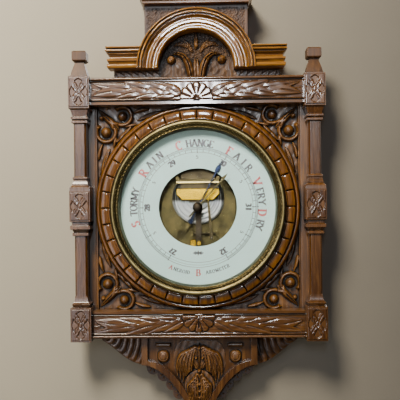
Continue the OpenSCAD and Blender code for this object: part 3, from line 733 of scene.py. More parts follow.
# The leaves at each side of the fan: curve and half width, in the upper row and the lower
RAIL_LEAVES = [([(20, 13), (30, 17), (45, 26.6)], 6.4), ([(34, 15), (50, 19), (66, 27.6)], 7.0),
               ([(54, 17), (72, 20), (91, 28)], 7.4), ([(78, 18.5), (102, 20), (130, 26.2)], 6.2),
               ([(26, 12), (40, 13), (56, 8.2)], 5.2), ([(46, 14), (62, 14), (78, 7.8)], 6.0),
               ([(66, 16), (84, 16), (101, 8.6)], 6.4), ([(90, 18), (112, 17.5), (131, 11.6)], 7.6)]


def fan_height(u, w):
    """The fan of petals in the middle of a rail, and where it is."""
    angle = np.arctan2(w - 6.2, u)
    reach = np.hypot(u, w - 6.2)
    petal = np.abs(np.cos(6.5 * (math.pi / 2 - angle)))
    rim = 18.6 + 2.6 * petal ** 0.6
    fan = 2.5 * unit(petal) ** 0.5 * unit((rim - reach) / 1.6) ** 0.5
    fan = fan * np.clip(reach / 5.0, 0.25, 1)
    collar = np.where(np.abs(reach - 6.4) < 1.2, 2.2, 0)
    slot = np.where((u < 0.9) & (w > 10) & (w < 21), 0.2, 1)
    return np.maximum(fan, collar) * slot, reach < rim + 0.6


def rail_depth(U, V):
    """Depth of a rail's front, with w measured from its edge nearest to the dial."""
    u, w = np.abs(U), np.abs(V) - near
    low, high = LEAF_BAND
    edge = top_rail.d1
    d = np.where(w > 3.5, edge - 2.0, edge - 0.4)
    h = highest(leaf(u, w, [(14, 12), (60, 15.5), (112, 17), (132, 19)], 1.7, 1.7, rib=0.4),
                *(leaf(u, w, curve, width, 1.5, fullness=0.62, rib=0.5, flat=0.93)
                  for curve, width in RAIL_LEAVES))
    fan, in_fan = fan_height(u, w)
    h = np.where(in_fan, fan, h)
    seed = 12 if V.min() > 0 else 10
    ground = edge - 1.8 + waver(u, w, 12, 0.2, seed)
    carved = np.clip(ground + h, panel.d1, edge)
    fade = unit(np.minimum(w - low, high - w) / 0.9)
    d = np.where((w > low) & (w < high), (edge - 0.9) * (1 - fade) + carved * fade, d)
    bead = 2.4 * unit(1 - ((w - 32.3) / 2.1) ** 2) ** 0.5
    return np.minimum(np.where(w >= high, edge - 2.4 + bead, d), edge)


for node, side in (("top_rail", 1), ("bottom_rail", -1)):
    rail = Place(node)
    rows = side * lattice(spread(near, near + 3.2, 0.8), [near + 3.7, near + 5.2],
                          spread(near + 5.8, near + 28.8, 0.62), [near + 29.3, near + 30.2],
                          spread(near + 30.4, near + 34, 0.6))
    relief(node + "_carved", spread(rail.x0, rail.x1, 0.62), np.sort(rows), rail_depth, rail.d0,
           wood["rail"], stands_for=[node], reach=2, dark=0.6, slot="oak_case")


# ---- pillars and their rosettes ------------------------------------------

def rosette_cut(U, V, half_w, half_h):
    """Where a block is gouged out: a lens and a wedge in from each of its sides."""
    x, y = np.abs(U) / (0.86 * half_w), np.abs(V) / (0.86 * half_h)
    cut = np.zeros(x.shape)
    for a, b, long_, fat in ((x, y, 0.4, 0.24), (y, x, 0.5, 0.15)):
        bow = unit(1 - (b / long_) ** 2)
        lens = unit(1.25 - np.abs(a - 0.88 + 0.1 * (1 - bow)) / (fat * bow + 1e-3))
        wedge = unit(1.2 - b / np.maximum(0.4 * unit((a - 0.3) / 0.5), 1e-3))
        wedge = wedge * (a > 0.3) * (a < 0.92)
        cut = np.maximum(cut, np.maximum(lens, wedge) ** 0.5)
    return cut


def rosette_depth(half_w, half_h, base, veins):
    """Four petals on the diagonals, parted by the gouged cuts."""
    def depth(U, V):
        u, v = np.abs(U) / half_w, np.abs(V) / half_h
        x, y = u / 0.84, v / 0.84
        cut = rosette_cut(U, V, half_w, half_h)
        r = np.hypot(x, y)
        off = np.abs(x - y) / 1.4
        chevrons = 0.5 + 0.5 * np.cos(2 * math.pi * (r + off) * veins)
        petal = unit((1.12 - r) * 3) * unit((r - 0.2) * 5)
        fine = 0.2 * petal * chevrons ** 2 + 0.4 * petal * ridge(off, 0.03)
        button = 0.5 * ridge(r - 0.2, 0.05)
        d = base + 1.2 - 1.6 * cut - (fine + button) * (1 - cut)
        edge = unit(np.minimum((1 - u) * half_w, (1 - v) * half_h) / 0.8)
        return base + (np.maximum(d, base - 0.3) - base) * np.sqrt(edge * (2 - edge)) + 0.02
    return depth


# The pillars' carved blocks: name, height of the middle, half the height, and vein pitch
BLOCK_FACES = [("top", 145.3, 18.6, 2.4), ("middle", 2.6, 17.4, 3.4), ("bottom", -145.6, 19.6, 2.4)]
for side, word in SIDES:
    node = "pillar_" + word
    this = Place(node)
    half = (this.x1 - this.x0) / 2
    face_half = half - 1.1
    softened(node, 0.55, wood["pillar"], "oak_case", long_edges=(50, 2.0))
    for at, mid_z, tall, veins in BLOCK_FACES:
        # Painted shade in the rosette's cuts.
        relief("rosette_" + at + "_" + word, spread(-face_half, face_half, 0.42),
               spread(-tall, tall, 0.42), rosette_depth(face_half, tall, this.d1, veins),
               this.d1 - 0.4, wood["pillar"], shift=((this.x0 + this.x1) / 2, 0, mid_z),
               reach=4, dark=0.9,
               painted_shade=lambda U, V, tall=tall: 0.95 * rosette_cut(U, V, face_half, tall) ** 2)


# ---- pediment ------------------------------------------------------------

arch = Place("arch_moulding")
arch_z = arch.z0
arch_in = 47.6
tymp = Place("tympanum_carving")


def tympanum_height(U, V):
    u, w = np.abs(U), V - arch_z
    return highest(leaf(u, w, [(6, -14), (7, 6), (15, 26), (31, 19)], 5.0, 8.6, fullness=0.6,
                        rib=0.45, flat=0.3),
                   dome(u, w, (32.2, 12.6), 5.6, 7.2),
                   leaf(u, w, [(2.0, -12), (2.4, 2), (1.2, 15)], 3.6, 5.6, rib=0),
                   leaf(u, w, [(0, 26), (0, 36), (0, 49)], 2.6, 4.6, rib=0.2),
                   leaf(u, w, [(9, 28), (19, 37), (29, 30)], 3.0, 2.8, rib=0.2),
                   leaf(u, w, [(5, 22), (10, 32), (17, 40)], 2.6, 2.6, rib=0.2))


def tympanum_depth(U, V):
    upper = unit((V - arch_z - 6) / 8)
    ground = tymp.d0 + 2.2 + stipple(U, V, 1.9, 1.4, 7.0) * upper + waver(U, V, 7, 0.9, 17)
    return np.clip(ground + tympanum_height(U, V), tymp.d0 + 0.4, tymp.d1)


def into_arch(U, V):
    """Pulls the lattice's outer points in to the arch's inner face."""
    w = V - arch_z
    r = np.hypot(U, w)
    shrink = np.where((r > arch_in - 0.05) & (w > 0), (arch_in - 0.05) / np.maximum(r, 1e-6), 1)
    keep_u = np.clip(U * shrink, 0.05 - arch_in, arch_in - 0.05)
    return keep_u, arch_z + w * shrink


def inside_arch(U, V):
    return np.hypot(U, np.maximum(V - arch_z, 0)) < arch_in - 0.12


# Painted shade on the low ground between the carving.
relief("tympanum_carved", spread(-arch_in, arch_in, 0.62),
       spread(tymp.z0, arch_z + arch_in, 0.62), tympanum_depth, tymp.d0, wood["carving"],
       keep=inside_arch, snap=into_arch, stands_for=["tympanum_carving"], dark=2.2,
       painted_shade=lambda U, V: 0.4 * unit(1 - tympanum_height(U, V) / 2))

frieze = Place("frieze_board")
arch_out = arch.x1 + 0.1


def frieze_depth(U, V):
    edge = np.minimum(frieze.x1 - np.abs(U), frieze.z1 - V)
    rough = stipple(U, V, 1.8, 0.8, 4.0) + waver(U, V, 5, 0.5, 9)
    return frieze.d1 - 0.6 + rough * unit((edge - 2.5) / 1.2)


def off_arch(U, V):
    """Pushes the lattice's points that the arch covers out to its outer edge."""
    w = V - arch_z
    r = np.hypot(U, w)
    push = np.where(r < arch_out, arch_out / np.maximum(r, 1e-6), 1)
    return U * push, np.minimum(arch_z + w * push, frieze.z1)


def strip_depth(U, V):
    """A row of seven leaves under the shoulder moulding, on a punched ground."""
    u, w = np.abs(U), V - top_rail.z1
    row = [leaf(u, w, [(x - 5, 1), (x + 1, 4), (x + 5, 11)], 3.8, 1.1, rib=0.3, flat=0.6)
           for x in (51 + 9.2 * k for k in range(7))]
    return panel.d1 + 1.2 + highest(*row) + stipple(U, V, 1.6, 0.3, 8.0)


for sign, word in SIDES:
    relief("frieze_corner_" + word, np.sort(sign * spread(0.5, frieze.x1, 0.7)),
           spread(frieze.z0, frieze.z1, 0.7), frieze_depth, frieze.d0, wood["crest"],
           snap=off_arch, stands_for=["frieze_board"], dark=1.2,
           keep=lambda U, V: np.hypot(U, V - arch_z) > arch_out + 0.25)
    strip = np.sort(sign * spread(arch_in + 0.3, Place("pediment_board").x1 - 1, 0.6))
    relief("pediment_leaf_strip_" + word, strip, spread(top_rail.z1 + 0.1, arch_z - 0.1, 0.6),
           strip_depth, panel.d1 - 0.3, wood["carving"], dark=2.4)


# ---- pendant -------------------------------------------------------------

shield_top = Place("pendant_shield").z1
palm = Place("pendant_palmette")
wing = Place("apron_wing_right")
bosses = Place("pendant_bosses")
WING_IN = 74
FLUTE = 8.2


def wing_lower_edge(x):
    """Height of the wing's lower edge at a distance x from the middle."""
    line = bend([(124.0, -172.4), (112, -177), (98, -197), (77.5, -202)], np.linspace(0, 1, 40))
    line = line[np.argsort(line[:, 0])]
    scallop = 1.1 * np.abs(np.sin((x - WING_IN) / FLUTE * math.pi))
    return np.interp(x, line[:, 0], line[:, 1]) + 1.6 - scallop


def wing_depth(U, V):
    """Curved flutes that fan out downwards, each with an eye cut into it."""
    u = np.abs(U)
    down = (shield_top - V) / np.maximum(shield_top - wing_lower_edge(u), 1)
    phase = (u - WING_IN - 9 * down ** 2) / FLUTE
    flute = np.abs(np.sin(phase * math.pi)) ** 0.55
    eye = ridge(phase - np.round(phase), 0.09) * ridge(down - 0.45, 0.16)
    tip = unit((1 - down) * 6) ** 0.5
    raised = (1.5 * flute + waver(U, V, 9, 0.3, 21)) * (0.4 + 0.6 * tip)
    return wing.d1 - 2.2 + raised - 0.8 * eye


def onto_wing(U, V):
    return U, np.maximum(V, wing_lower_edge(np.abs(U)))


for sign, word in SIDES:
    relief("apron_carving_" + word, np.sort(sign * spread(73.9, 122.5, 0.55)),
           spread(-203, shield_top - 0.3, 0.55), wing_depth, wing.d1 - 2.4, wood["panel"],
           snap=onto_wing, dark=1.1,
           keep=lambda U, V: V > wing_lower_edge(np.abs(U)) + 0.02)


def palm_half_width(V):
    """Half the palmette's width at each height, from its top down to its point."""
    down = [0, 6, 16, 30, 44, 60, 76, 90, 96.1]
    return np.interp(palm.z1 - V, down, [22, 29, 32.5, 33.4, 28, 20, 11.5, 4.6, 1.6])


def palmette_depth(U, V):
    """Two tiers of drooping fronds either side of a stem with pearls."""
    u, w = np.abs(U), palm.z1 - V
    upper = []
    for k in range(5):
        out = 10 + 5.2 * k
        frond = [(1.5, 18 + 5.0 * k), (0.4 * out, 2 + 1.0 * k), (out, 3 + 1.6 * k),
                 (out + 3.4 - 1.6 * k, 62 - 3.4 * k)]
        upper.append(leaf(u, w, frond, 4.0, 6.6 - 0.3 * k, fullness=0.6, rib=0.3))
    arch_line = np.hypot(u / 21.0, np.minimum(w - 58, 0) / 23.0)
    lower = [2.6 * unit((1 - arch_line) * 9) ** 0.5]
    for k in range(4):
        out = 5.2 + 4.6 * k
        frond = [(0.5, 50 + 9.0 * k), (0.5 * out, 37 + 3.0 * k), (out, 38 + 3.6 * k),
                 (0.6 * out, 92 - 5.0 * k)]
        lower.append(2.0 + leaf(u, w, frond, 3.3, 6.4, fullness=0.6, rib=0.35))
    tier = np.where(arch_line > 0.93, 0.0, highest(*lower))
    h = np.where((arch_line < 1) & (w > 34), tier, highest(*upper))
    h = h * (1 - 0.6 * ridge(u, 1.2) * unit((30 - w) / 8))
    pearls = [(9, 2.2), (37.5, 2.7), (54, 2.5), (63, 2.4), (71, 2.2), (79, 1.8), (86, 1.4)]
    h = highest(h, leaf(u, w, [(0, 3), (0, 18), (0, 35)], 2.0, 6.4, rib=0, fullness=0.9),
                *(dome(u, w, (0, down), r, 9.0) for down, r in pearls),
                dome(u, w, (4.1, 21.0), 2.3, 8.6))
    return np.clip(palm.d0 + 1.4 + waver(U, V, 6, 0.5, 3) + h, palm.d0 + 0.5, palm.d1)


def into_palm(U, V):
    half = palm_half_width(V)
    return np.clip(U, -half, half), V


relief("palmette_carved", spread(-33.6, 33.6, 0.6), spread(palm.z0, palm.z1, 0.6), palmette_depth,
       palm.d0, wood["carving"], snap=into_palm, stands_for=["pendant_palmette"], dark=2.2,
       keep=lambda U, V: np.abs(U) < palm_half_width(V) - 0.05)

# The middle of the boss on the right, and the height of the bar above it
BOSS_X, BOSS_Z, BAR_Z = 46.0, -189.7, -175.25


def boss_depth(U, V):
    """A swelling block with a ring cut into it."""
    u, v = np.abs(np.abs(U) - BOSS_X), np.abs(V - BOSS_Z)
    swell = unit(1 - (u / 7.5) ** 2.6 - (v / 7.9) ** 2.6) ** 0.42
    return bosses.d0 + 0.5 + 5.0 * swell - 0.6 * ridge(np.hypot(u, v) - 4.6, 0.45)


def bar_depth(U, V):
    """A short half-round bar."""
    ends = unit((10 - np.abs(np.abs(U) - BOSS_X)) / 1.2) ** 0.5
    return bosses.d0 + 1.0 + 3.4 * np.sqrt(unit(1 - ((V - BAR_Z) / 2.75) ** 2)) * ends


for sign, word in SIDES:
    for kind, half, rows, depth in (("boss", 8, spread(bosses.z0, -181.5, 0.5), boss_depth),
                                    ("bar", 10, spread(-178, bosses.z1, 0.4), bar_depth)):
        columns = np.sort(sign * spread(BOSS_X - half, BOSS_X + half, 0.5))
        relief("pendant_" + kind + "_" + word, columns, rows, depth, bosses.d0, wood["carving"],
               stands_for=["pendant_bosses"], reach=4)


def leaf_lump(name, x, z, r, turn):
    """A rough carved leaf: a low mound with five lobes, with painted shade between its lobes and
    round its foot.
    """
    low, high = 7, 25.5
    around, up = 64, 16
    verts = []
    shade = []
    for i in range(up):
        p = i / up
        for j in range(around):
            a = 2 * math.pi * j / around
            lobes = 0.5 + 0.5 * math.cos(5 * (a - turn) + 1.8 * p)
            reach = r * (0.84 + 0.16 * lobes) * math.cos(math.pi / 2 * p) ** 0.55
            fold = 0.8 + 0.2 * lobes
            d = low + 3 + (high - low - 3) * math.sin(math.pi / 2 * p) ** 0.8 * fold
            verts.append((x + reach * math.cos(a), -d, z + reach * math.sin(a)))
            shade.append(0.75 * (1 - lobes) * (1 - p) + 0.1)
    base = len(verts)
    for j in range(around):
        a = 2 * math.pi * j / around
        verts.append((x + 0.8 * r * math.cos(a), -low, z + 0.8 * r * math.sin(a)))
        shade.append(0.6)
    tip = len(verts)
    verts.append((x, -(low + 3 + (high - low - 3) * 0.86), z))
    shade.append(0.2)
    steps = [(j, (j + 1) % around) for j in range(around)]
    faces = [[i * around + j, i * around + k, (i + 1) * around + k, (i + 1) * around + j]
             for i in range(up - 1) for j, k in steps]
    top = (up - 1) * around
    faces += [[top + j, top + k, tip] for j, k in steps]
    faces += [[k, j, base + j, base + k] for j, k in steps]
    faces.append([base + j for j in range(around)])
    piece(name, verts, faces, wood["carving"], sharp=70, hollow=np.array(shade))


for sign, word in SIDES:
    for k, (x, z, r) in enumerate([(60, -207, 8.6), (46, -215, 9.0), (35, -227, 8.8),
                                   (26.5, -238.5, 8.2)]):
        leaf_lump("apron_leaf_" + word + "_" + str(k + 1), sign * x, z, r, 0.9 * k + sign)


# ---- the printed dial ----------------------------------------------------

sheet_depth = Place("dial").d1


def curl(cx, cy, rx, ry, a0, a1, n=16):
    """Points on part of an ellipse, with angles in degrees anticlockwise from the right."""
    a = np.radians(np.linspace(a0, a1, n))
    return list(zip(cx + rx * np.cos(a), cy + ry * np.sin(a)))


STEM = [(0.12, 0), (0.12, 1)]
# Each letter: its advance and its pen strokes, for capitals 1 high
LETTERS = {
    "A": (0.86, [[(0.04, 0), (0.4, 1)], [(0.38, 1), (0.76, 0)], [(0.17, 0.34), (0.62, 0.34)]]),
    "B": (0.7, [STEM, [(0.12, 0.98), (0.3, 0.98)] + curl(0.32, 0.75, 0.22, 0.23, 90, -90)
                + [(0.12, 0.52)], curl(0.34, 0.27, 0.26, 0.25, 90, -90) + [(0.12, 0.02)]]),
    "C": (0.74, [curl(0.4, 0.5, 0.34, 0.5, 42, 318, 22)]),
    "D": (0.82, [STEM, [(0.1, 0.98), (0.3, 0.98)] + curl(0.34, 0.5, 0.36, 0.48, 86, -86, 20)
                 + [(0.1, 0.02)]]),
    "E": (0.66, [STEM, [(0.1, 0.97), (0.54, 0.97), (0.55, 0.82)],
                 [(0.12, 0.52), (0.42, 0.52)], [(0.1, 0.03), (0.56, 0.03), (0.58, 0.2)]]),
    "F": (0.62, [STEM, [(0.1, 0.97), (0.54, 0.97), (0.55, 0.8)],
                 [(0.12, 0.52), (0.42, 0.52)]]),
    "G": (0.82, [curl(0.4, 0.5, 0.34, 0.5, 45, 330, 22), [(0.7, 0.42), (0.7, 0.06)],
                 [(0.52, 0.43), (0.78, 0.43)]]),
    "H": (0.84, [STEM, [(0.68, 0), (0.68, 1)], [(0.12, 0.51), (0.68, 0.51)]]),
    "I": (0.34, [[(0.16, 0), (0.16, 1)]]),
    "M": (0.98, [STEM, [(0.12, 1), (0.47, 0.1)], [(0.47, 0.1), (0.82, 1)],
                 [(0.82, 1), (0.82, 0)]]),
    "N": (0.84, [STEM, [(0.12, 1), (0.68, 0)], [(0.68, 0), (0.68, 1)]]),
    "O": (0.84, [curl(0.42, 0.5, 0.35, 0.49, 90, 450, 28)]),
    "R": (0.76, [STEM, [(0.1, 0.98), (0.3, 0.98)] + curl(0.32, 0.74, 0.24, 0.24, 90, -90)
                 + [(0.12, 0.5)], [(0.34, 0.5), (0.68, 0.01)]]),
    "S": (0.64, [curl(0.3, 0.74, 0.21, 0.24, 30, 262, 16)
                 + curl(0.3, 0.26, 0.24, 0.25, 88, -150, 16)]),
    "T": (0.7, [[(0.34, 0), (0.34, 1)], [(0.04, 0.82), (0.05, 0.97), (0.63, 0.97), (0.64, 0.82)]]),
    "V": (0.8, [[(0.04, 1), (0.4, 0)], [(0.4, 0), (0.74, 1)]]),
    "Y": (0.78, [[(0.04, 1), (0.38, 0.5)], [(0.38, 0.5), (0.72, 1)], [(0.38, 0), (0.38, 0.5)]]),
    "0": (0.62, [curl(0.29, 0.5, 0.24, 0.49, 90, 450, 26)]),
    "1": (0.42, [[(0.2, 0), (0.2, 1)], [(0.04, 0.84), (0.2, 0.98)]]),
    "2": (0.6, [curl(0.27, 0.72, 0.23, 0.27, 165, -38, 16) + [(0.03, 0.03)],
                [(0.03, 0.05), (0.54, 0.05), (0.55, 0.2)]]),
    "3": (0.6, [curl(0.27, 0.75, 0.21, 0.24, 150, -80, 14) + [(0.2, 0.52)],
                curl(0.26, 0.27, 0.25, 0.26, 88, -150, 16)]),
    "5": (0.6, [[(0.5, 0.96), (0.14, 0.96), (0.1, 0.55)],
                curl(0.26, 0.3, 0.25, 0.29, 130, -150, 16)]),
    "7": (0.58, [[(0.04, 0.8), (0.05, 0.95), (0.52, 0.95)],
                 [(0.52, 0.95), (0.26, 0.4), (0.22, 0)]]),
    "8": (0.62, [curl(0.29, 0.75, 0.19, 0.23, 90, 450, 22),
                 curl(0.29, 0.27, 0.24, 0.26, 90, 450, 24)]),
    "9": (0.62, [curl(0.28, 0.69, 0.23, 0.3, 90, 450, 24),
                 curl(0.21, 0.6, 0.3, 0.58, 10, -80, 14)]),
}


class Print:
    """Ink on the dial: thin closed strips laid along strokes."""

    def __init__(self):
        self.verts = []
        self.faces = []

    def strip(self, points, widths):
        """A strip through points in (x, z) mm, with its width at each."""
        p = np.array(points, float)
        step = np.gradient(p, axis=0)
        step = step / np.maximum(np.hypot(*step.T)[:, None], 1e-9)
        side = np.stack([-step[:, 1], step[:, 0]], -1) * np.asarray(widths)[:, None] / 2
        base = len(self.verts)
        n = len(p)
        for depth in (sheet_depth + 0.055, sheet_depth + 0.002):
            for edge in (p + side, p - side):
                self.verts += [(x, -depth, z) for x, z in edge]
        for i in range(n - 1):
            a, b, c, d = (base + k * n + i for k in range(4))
            self.faces += [[a, a + 1, b + 1, b], [c, d, d + 1, c + 1],
                           [a, c, c + 1, a + 1], [b, b + 1, d + 1, d]]
        for i in (0, n - 1):
            a, b, c, d = (base + k * n + i for k in range(4))
            self.faces.append([a, b, d, c])

    def circle(self, r, width):
        a = np.radians(np.linspace(0, 360, 241))
        self.strip(np.stack([r * np.sin(a), r * np.cos(a)], -1), np.full(len(a), width))

    def tick(self, angle, r0, r1, width):
        a = math.radians(angle)
        ends = [(r * math.sin(a), r * math.cos(a)) for r in (r0, r1)]
        self.strip(ends, [width, width])

    def word(self, text, a0, a1, r, high, thick=0.24, thin=0.07, inward=False):
        """Letters bent round the dial so that they fill the arc from angle a0 to a1,
        clockwise from the top."""
        total = sum(LETTERS[c][0] for c in text)
        arc = abs(math.radians(a1 - a0)) * r / high
        gap = (arc - total) / max(len(text) - 1, 1)
        at = -arc / 2 if len(text) > 1 else -total / 2
        for c in text:
            advance, strokes = LETTERS[c]
            for stroke in strokes:
                self.pen(stroke, at, (a0 + a1) / 2, r, high, thick, thin, inward)
            at += advance + gap

    def pen(self, stroke, at, angle, r, high, thick, thin, inward):
        """One stroke, wider where it runs down, with feet at the ends of an upright."""
        p = np.array(stroke, float)
        fine = [p[0]]
        for a, b in zip(p, p[1:]):
            cuts = max(1, int(np.hypot(*(b - a)) / 0.16))
            fine += [a + (b - a) * (i + 1) / cuts for i in range(cuts)]
        p = np.array(fine)
        step = np.gradient(p, axis=0)
        slope = np.abs(np.sin(np.arctan2(step[:, 1], step[:, 0]) - math.radians(12)))
        widths = (thin + (thick - thin) * slope ** 1.3) * high
        straight = len(stroke) == 2 and abs(stroke[0][1] - stroke[1][1]) > 0.4
        self.strip(self.lay(p, at, angle, r, high, inward), widths)
        if straight:
            for x, y in stroke:
                if y < 0.02 or y > 0.98:
                    foot = np.array([(x - 0.15, y), (x, y), (x + 0.15, y)])
                    self.strip(self.lay(foot, at, angle, r, high, inward), np.full(3, thin * high))

    def lay(self, p, at, angle, r, high, inward):
        """A letter's points, bent round the dial; inward letters have their feet outside."""
        flip = -1 if inward else 1
        reach = r + flip * (p[:, 1] - 0.5) * high
        turn = math.radians(angle) + flip * (p[:, 0] + at) * high / r
        return np.stack([reach * np.sin(turn), reach * np.cos(turn)], -1)

    def finish(self, name, material):
        return piece(name, self.verts, self.faces, material, sharp=30)


# The scale's three circles, its first angle, its step and its steps an inch, and the radii of
# the weather words, the kind's name and the numbers
SCALE_OUT, SCALE_MID, SCALE_IN = 76.2, 73.4, 70.0
SCALE_START, SCALE_STEP, STEPS_AN_INCH = -150, 1.2, 50
WORD_R, KIND_R, NUMBER_R = 81.8, 83.4, 64.4

black, red = Print(), Print()
for r, w in ((SCALE_OUT, 0.45), (SCALE_MID, 0.3), (SCALE_IN, 0.45)):
    black.circle(r, w)
for k in range(5 * STEPS_AN_INCH + 1):
    angle = SCALE_START + SCALE_STEP * k
    if k % (STEPS_AN_INCH // 2) == 0:
        black.tick(angle, SCALE_IN - 1.4, SCALE_OUT + 1.2, 0.9)
    elif k % 5 == 0:
        black.tick(angle, SCALE_IN, SCALE_OUT, 0.65)
    else:
        black.tick(angle, SCALE_MID, SCALE_OUT, 0.55)
for k, inches in enumerate(range(27, 33)):
    angle = SCALE_START + SCALE_STEP * STEPS_AN_INCH * k
    black.word(str(inches), angle - 3.8, angle + 3.8, NUMBER_R, 6.6, thick=0.4, thin=0.16)
    if inches < 32:
        black.word("5", angle + 29, angle + 31, NUMBER_R - 0.4, 4.4)

# The weather words: each red initial and its arc, and the black rest and its arc
for initial, i0, i1, text, a0, a1 in (
        ("S", -109, -100, "TORMY", -97, -72), ("R", -61, -53, "AIN", -50.5, -33),
        ("C", -20, -13, "HANGE", -10, 15), ("F", 27, 33, "AIR", 36, 55.5),
        ("V", 64, 71, "ERY", 73.5, 88.5), ("D", 91.5, 99.5, "RY", 102, 111)):
    black.word(text, a0, a1, WORD_R, 8.8, thick=0.27, thin=0.08)
    red.word(initial, i0, i1, WORD_R, 10.4, thick=0.26, thin=0.1)
black.word("NEROID", 202, 187.5, KIND_R, 4.2, inward=True)
red.word("A", 206, 203, KIND_R, 5.4, inward=True)
red.word("B", 183, 177, KIND_R - 0.4, 8.2, inward=True)
black.word("AROMETER", 173.5, 152, KIND_R, 4.2, inward=True)
black.finish("dial_print_black", ink_black)
red.finish("dial_print_red", ink_red)

lozenge = Print()
LOZENGE_Z = -58
for s in (-1, 1):
    lozenge.strip([(s * x, LOZENGE_Z) for x in (0.6, 3.6, 7.2)], [1.6, 2.4, 0.3])
    for up in (1, -1):
        lozenge.strip([(s * 1.2, LOZENGE_Z), (s * 3.2, LOZENGE_Z + up * 1.9),
                       (s * 5.6, LOZENGE_Z + up * 1.3)], [0.5, 0.8, 0.3])
lozenge.strip([(0, LOZENGE_Z + up) for up in (3.2, 0, -3.2)], [0.4, 3.6, 0.4])
lozenge.finish("dial_ornament", ink_black)


# ---- the set knob, and CAD nodes with their edges rounded over ------------

def knurl(R, D, A):
    """48 fine grooves round the knob's rim."""
    rim = (R > 5.6) & (D > 48.4)
    cut = np.where(rim, 0.22 * (0.5 + 0.5 * np.cos(48 * A)), 0)
    return R - cut, D, cut * 2


knob = Place("set_knob")
section = [(0.02, knob.d0), (1.5, knob.d0)]
section += [(r, knob.d1 - down) for r, down in (
    (1.5, 8.2), (3.0, 8.2), (3.0, 6.6), (5.8, 6.0), (6.2, 5.4), (6.3, 3.4), (6.2, 2.6),
    (5.4, 1.3), (4.0, 0.55), (2.2, 0.12), (0.02, 0))]
revolved("set_knob_milled", section, 192, iron, knurl, "setting_hand",
         stands_for=["set_knob"])

# Each node: the edges' radius in mm, material, slot, body if not the case, and bevel segments
FINISHED = {
    "sight_ring": (0.12, old_brass, "lacquered_brass"),
    "glass_bush": (0.12, old_brass, "lacquered_brass"),
    "set_hand": (0.14, old_brass, "lacquered_brass", "setting_hand"),
    "indicating_hand": (0.14, blued, "blued_steel", "pressure_hand"),
    "arch_moulding": (0.22, wood["moulding"], "oak_case"),
    "shoulder_moulding_left": (0.22, wood["moulding"], "oak_case"),
    "shoulder_moulding_right": (0.22, wood["moulding"], "oak_case"),
    "cornice_cap": (0.4, wood["rail"], "oak_case"),
    "pediment_board": (0.4, wood["board"], "oak_case"),
    "finial_left": (0.7, wood["crest"], "oak_case", "case", 3),
    "finial_right": (0.7, wood["crest"], "oak_case", "case", 3),
    "pendant_shield": (0.5, wood["panel"], "oak_case"),
    "pendant_moulding": (0.9, wood["pillar"], "oak_case", "case", 3),
    "apron_wing_left": (1.2, wood["board"], "carved_wood", "case", 3),
    "apron_wing_right": (1.2, wood["board"], "carved_wood", "case", 3),
    "cross_bar": (1.1, bar_brass, "movement_brass"),
    "main_lever": (0.25, lever_brass, "movement_brass", "lever"),
    "cock_foot": (0.3, gilt, "movement_brass"),
    "rear_cock": (0.2, dull_shaded_brass, "movement_brass"),
    "arbor_cock": (0.25, iron, "blackened_iron"),
    "spring_bridge": (0.5, iron, "blackened_iron"),
    "mainspring": (0.25, spring, "spring_steel"),
    "vacuum_capsule": (0.2, capsule_metal, "nickel_silver"),
    "movement_plate": (0.3, dull_shaded_brass, "movement_brass"),
    "capsule_nut": (0.2, dull_shaded_brass, "movement_brass"),
    "bridge_ears": (0.3, dull_shaded_brass, "movement_brass"),
    "rocking_posts": (0.15, dull_shaded_brass, "movement_brass"),
    "rocking_shaft": (0.1, spring, "bright_steel", "regulator"),
    "hanging_plate": (0.2, brass, "lacquered_brass"),
}
for node, values in FINISHED.items():
    softened(node, *values)


# ---- every other CAD node keeps its shape --------------------------------

PLAIN = {
    "backboard": wood["board"], "crest_board": wood["board"], "glass": clear_glass,
    "dial": dial_white, "case_drum": dull_shaded_brass, "dial_posts": dull_shaded_brass,
    "drum_screws": brass, "movement_feet": dull_shaded_brass, "hanging_plate_screws": brass,
    "hairspring": spring, "case_wood_screws": steel, "movement_screws": steel,
    "knife_edge_pin": steel, "bridge_pivot_screws": steel, "lever_screws": lever_brass,
    "link_rod": steel, "hand_arbor": steel, "chain": steel, "adjusting_screw": steel,
}
for node, material in PLAIN.items():
    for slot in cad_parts[node].material_slots:
        slot.material = material


# ---- the room, lights and camera -----------------------------------------

WALL_Y, FLOOR_Z, ROOM, CURVE_R = 0.003, -0.95, 2.6, 0.6
WARM_WHITE = (1.0, 0.97, 0.93)


def backdrop():
    """A pale wall that curves into a pale floor, well below the object."""
    profile = [(-ROOM, FLOOR_Z), (-CURVE_R, FLOOR_Z)]
    profile += [(WALL_Y + CURVE_R * (math.sin(a) - 1), FLOOR_Z + CURVE_R * (1 - math.cos(a)))
                for a in np.linspace(0.05, math.pi / 2, 16)]
    profile += [(WALL_Y, z) for z in (0.2, 0.8, 2.2)]
    verts = [(x, y, z) for x in (-ROOM, ROOM) for y, z in profile]
    n = len(profile)
    faces = [[i, n + i, n + i + 1, i + 1] for i in range(n - 1)]
    mesh = bpy.data.meshes.new("backdrop")
    mesh.from_pydata(verts, [], faces)
    for polygon in mesh.polygons:
        polygon.use_smooth = True
    obj = bpy.data.objects.new("backdrop", mesh)
    bpy.context.scene.collection.objects.link(obj)
    mesh.materials.append(plaster("pale_wall", (0.41, 0.38, 0.3), (0.11, 0.1, 0.08)))


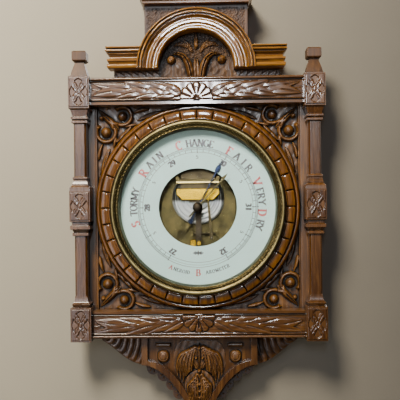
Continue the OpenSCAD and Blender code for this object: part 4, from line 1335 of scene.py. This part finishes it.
def lamp(name, at, power, size, colour, tall=None, target=(0, 0, 0), gloss_only=False):
    """An area lamp. A gloss_only one stands for a window: it shows in the varnish, and lights
    neither matt surfaces nor what is behind the glass."""
    data = bpy.data.lights.new(name, "AREA")
    data.energy = power
    data.shape = "RECTANGLE"
    data.size = size
    data.size_y = tall or size
    data.color = colour
    obj = bpy.data.objects.new(name, data)
    obj.location = at
    obj.visible_diffuse = not gloss_only
    obj.visible_transmission = not gloss_only
    obj.rotation_euler = (Vector(target) - Vector(at)).to_track_quat("-Z", "Y").to_euler()
    bpy.context.scene.collection.objects.link(obj)


backdrop()
lamp("key", (-0.33, -0.85, 0.9), 34, 0.36, (1.0, 0.9, 0.76), target=(0, -0.02, 0))
lamp("side_wall", (-0.95, -1.55, -0.05), 6, 0.8, (1.0, 0.95, 0.88), 1.7)
lamp("window", (-0.045, -1.75, 0.515), 42, 0.15, (0.93, 0.96, 1.0), 0.4,
     target=(0.02, -0.03, 0.05), gloss_only=True)
lamp("side_gloss", (-0.8, -1.75, 0.0), 17, 0.55, (0.9, 0.9, 1.0), 1.6, gloss_only=True)
for side, word in SIDES:
    lamp("rear_" + word, (side * 1.1, 0.5, 0.4), 8, 0.6, WARM_WHITE)
lamp("rear", (0.45, 1.4, 0.9), 45, 0.7, WARM_WHITE)

world = bpy.data.worlds.new("studio")
bpy.context.scene.world = world
world.use_nodes = True
sky = world.node_tree.nodes["Background"].inputs
sky["Color"].default_value = (1.0, 0.95, 0.87, 1)
sky["Strength"].default_value = 0.035

# The camera as solved from the photo's perspective: it looks at the dial's centre, with a
# slight roll, from a little to the right. The shift brings the dial to its place in the frame
VIEW_ANGLE, ROLL = math.radians(33.64946), math.radians(-0.6)
centre = Vector((0, -sheet_depth * MM, 0))
camera_data = bpy.data.cameras.new("camera")
camera_data.sensor_width = 36
camera_data.angle = VIEW_ANGLE
camera_data.shift_x = 0.0055
camera_data.shift_y = 0.01825
camera = bpy.data.objects.new("camera", camera_data)
camera.location = (0.0214, -0.8747, 0.0)
aim = (centre - camera.location).to_track_quat("-Z", "Y").to_matrix().to_4x4()
camera.rotation_euler = (aim @ Matrix.Rotation(ROLL, 4, "Z")).to_euler()
bpy.context.scene.collection.objects.link(camera)
bpy.context.scene.camera = camera

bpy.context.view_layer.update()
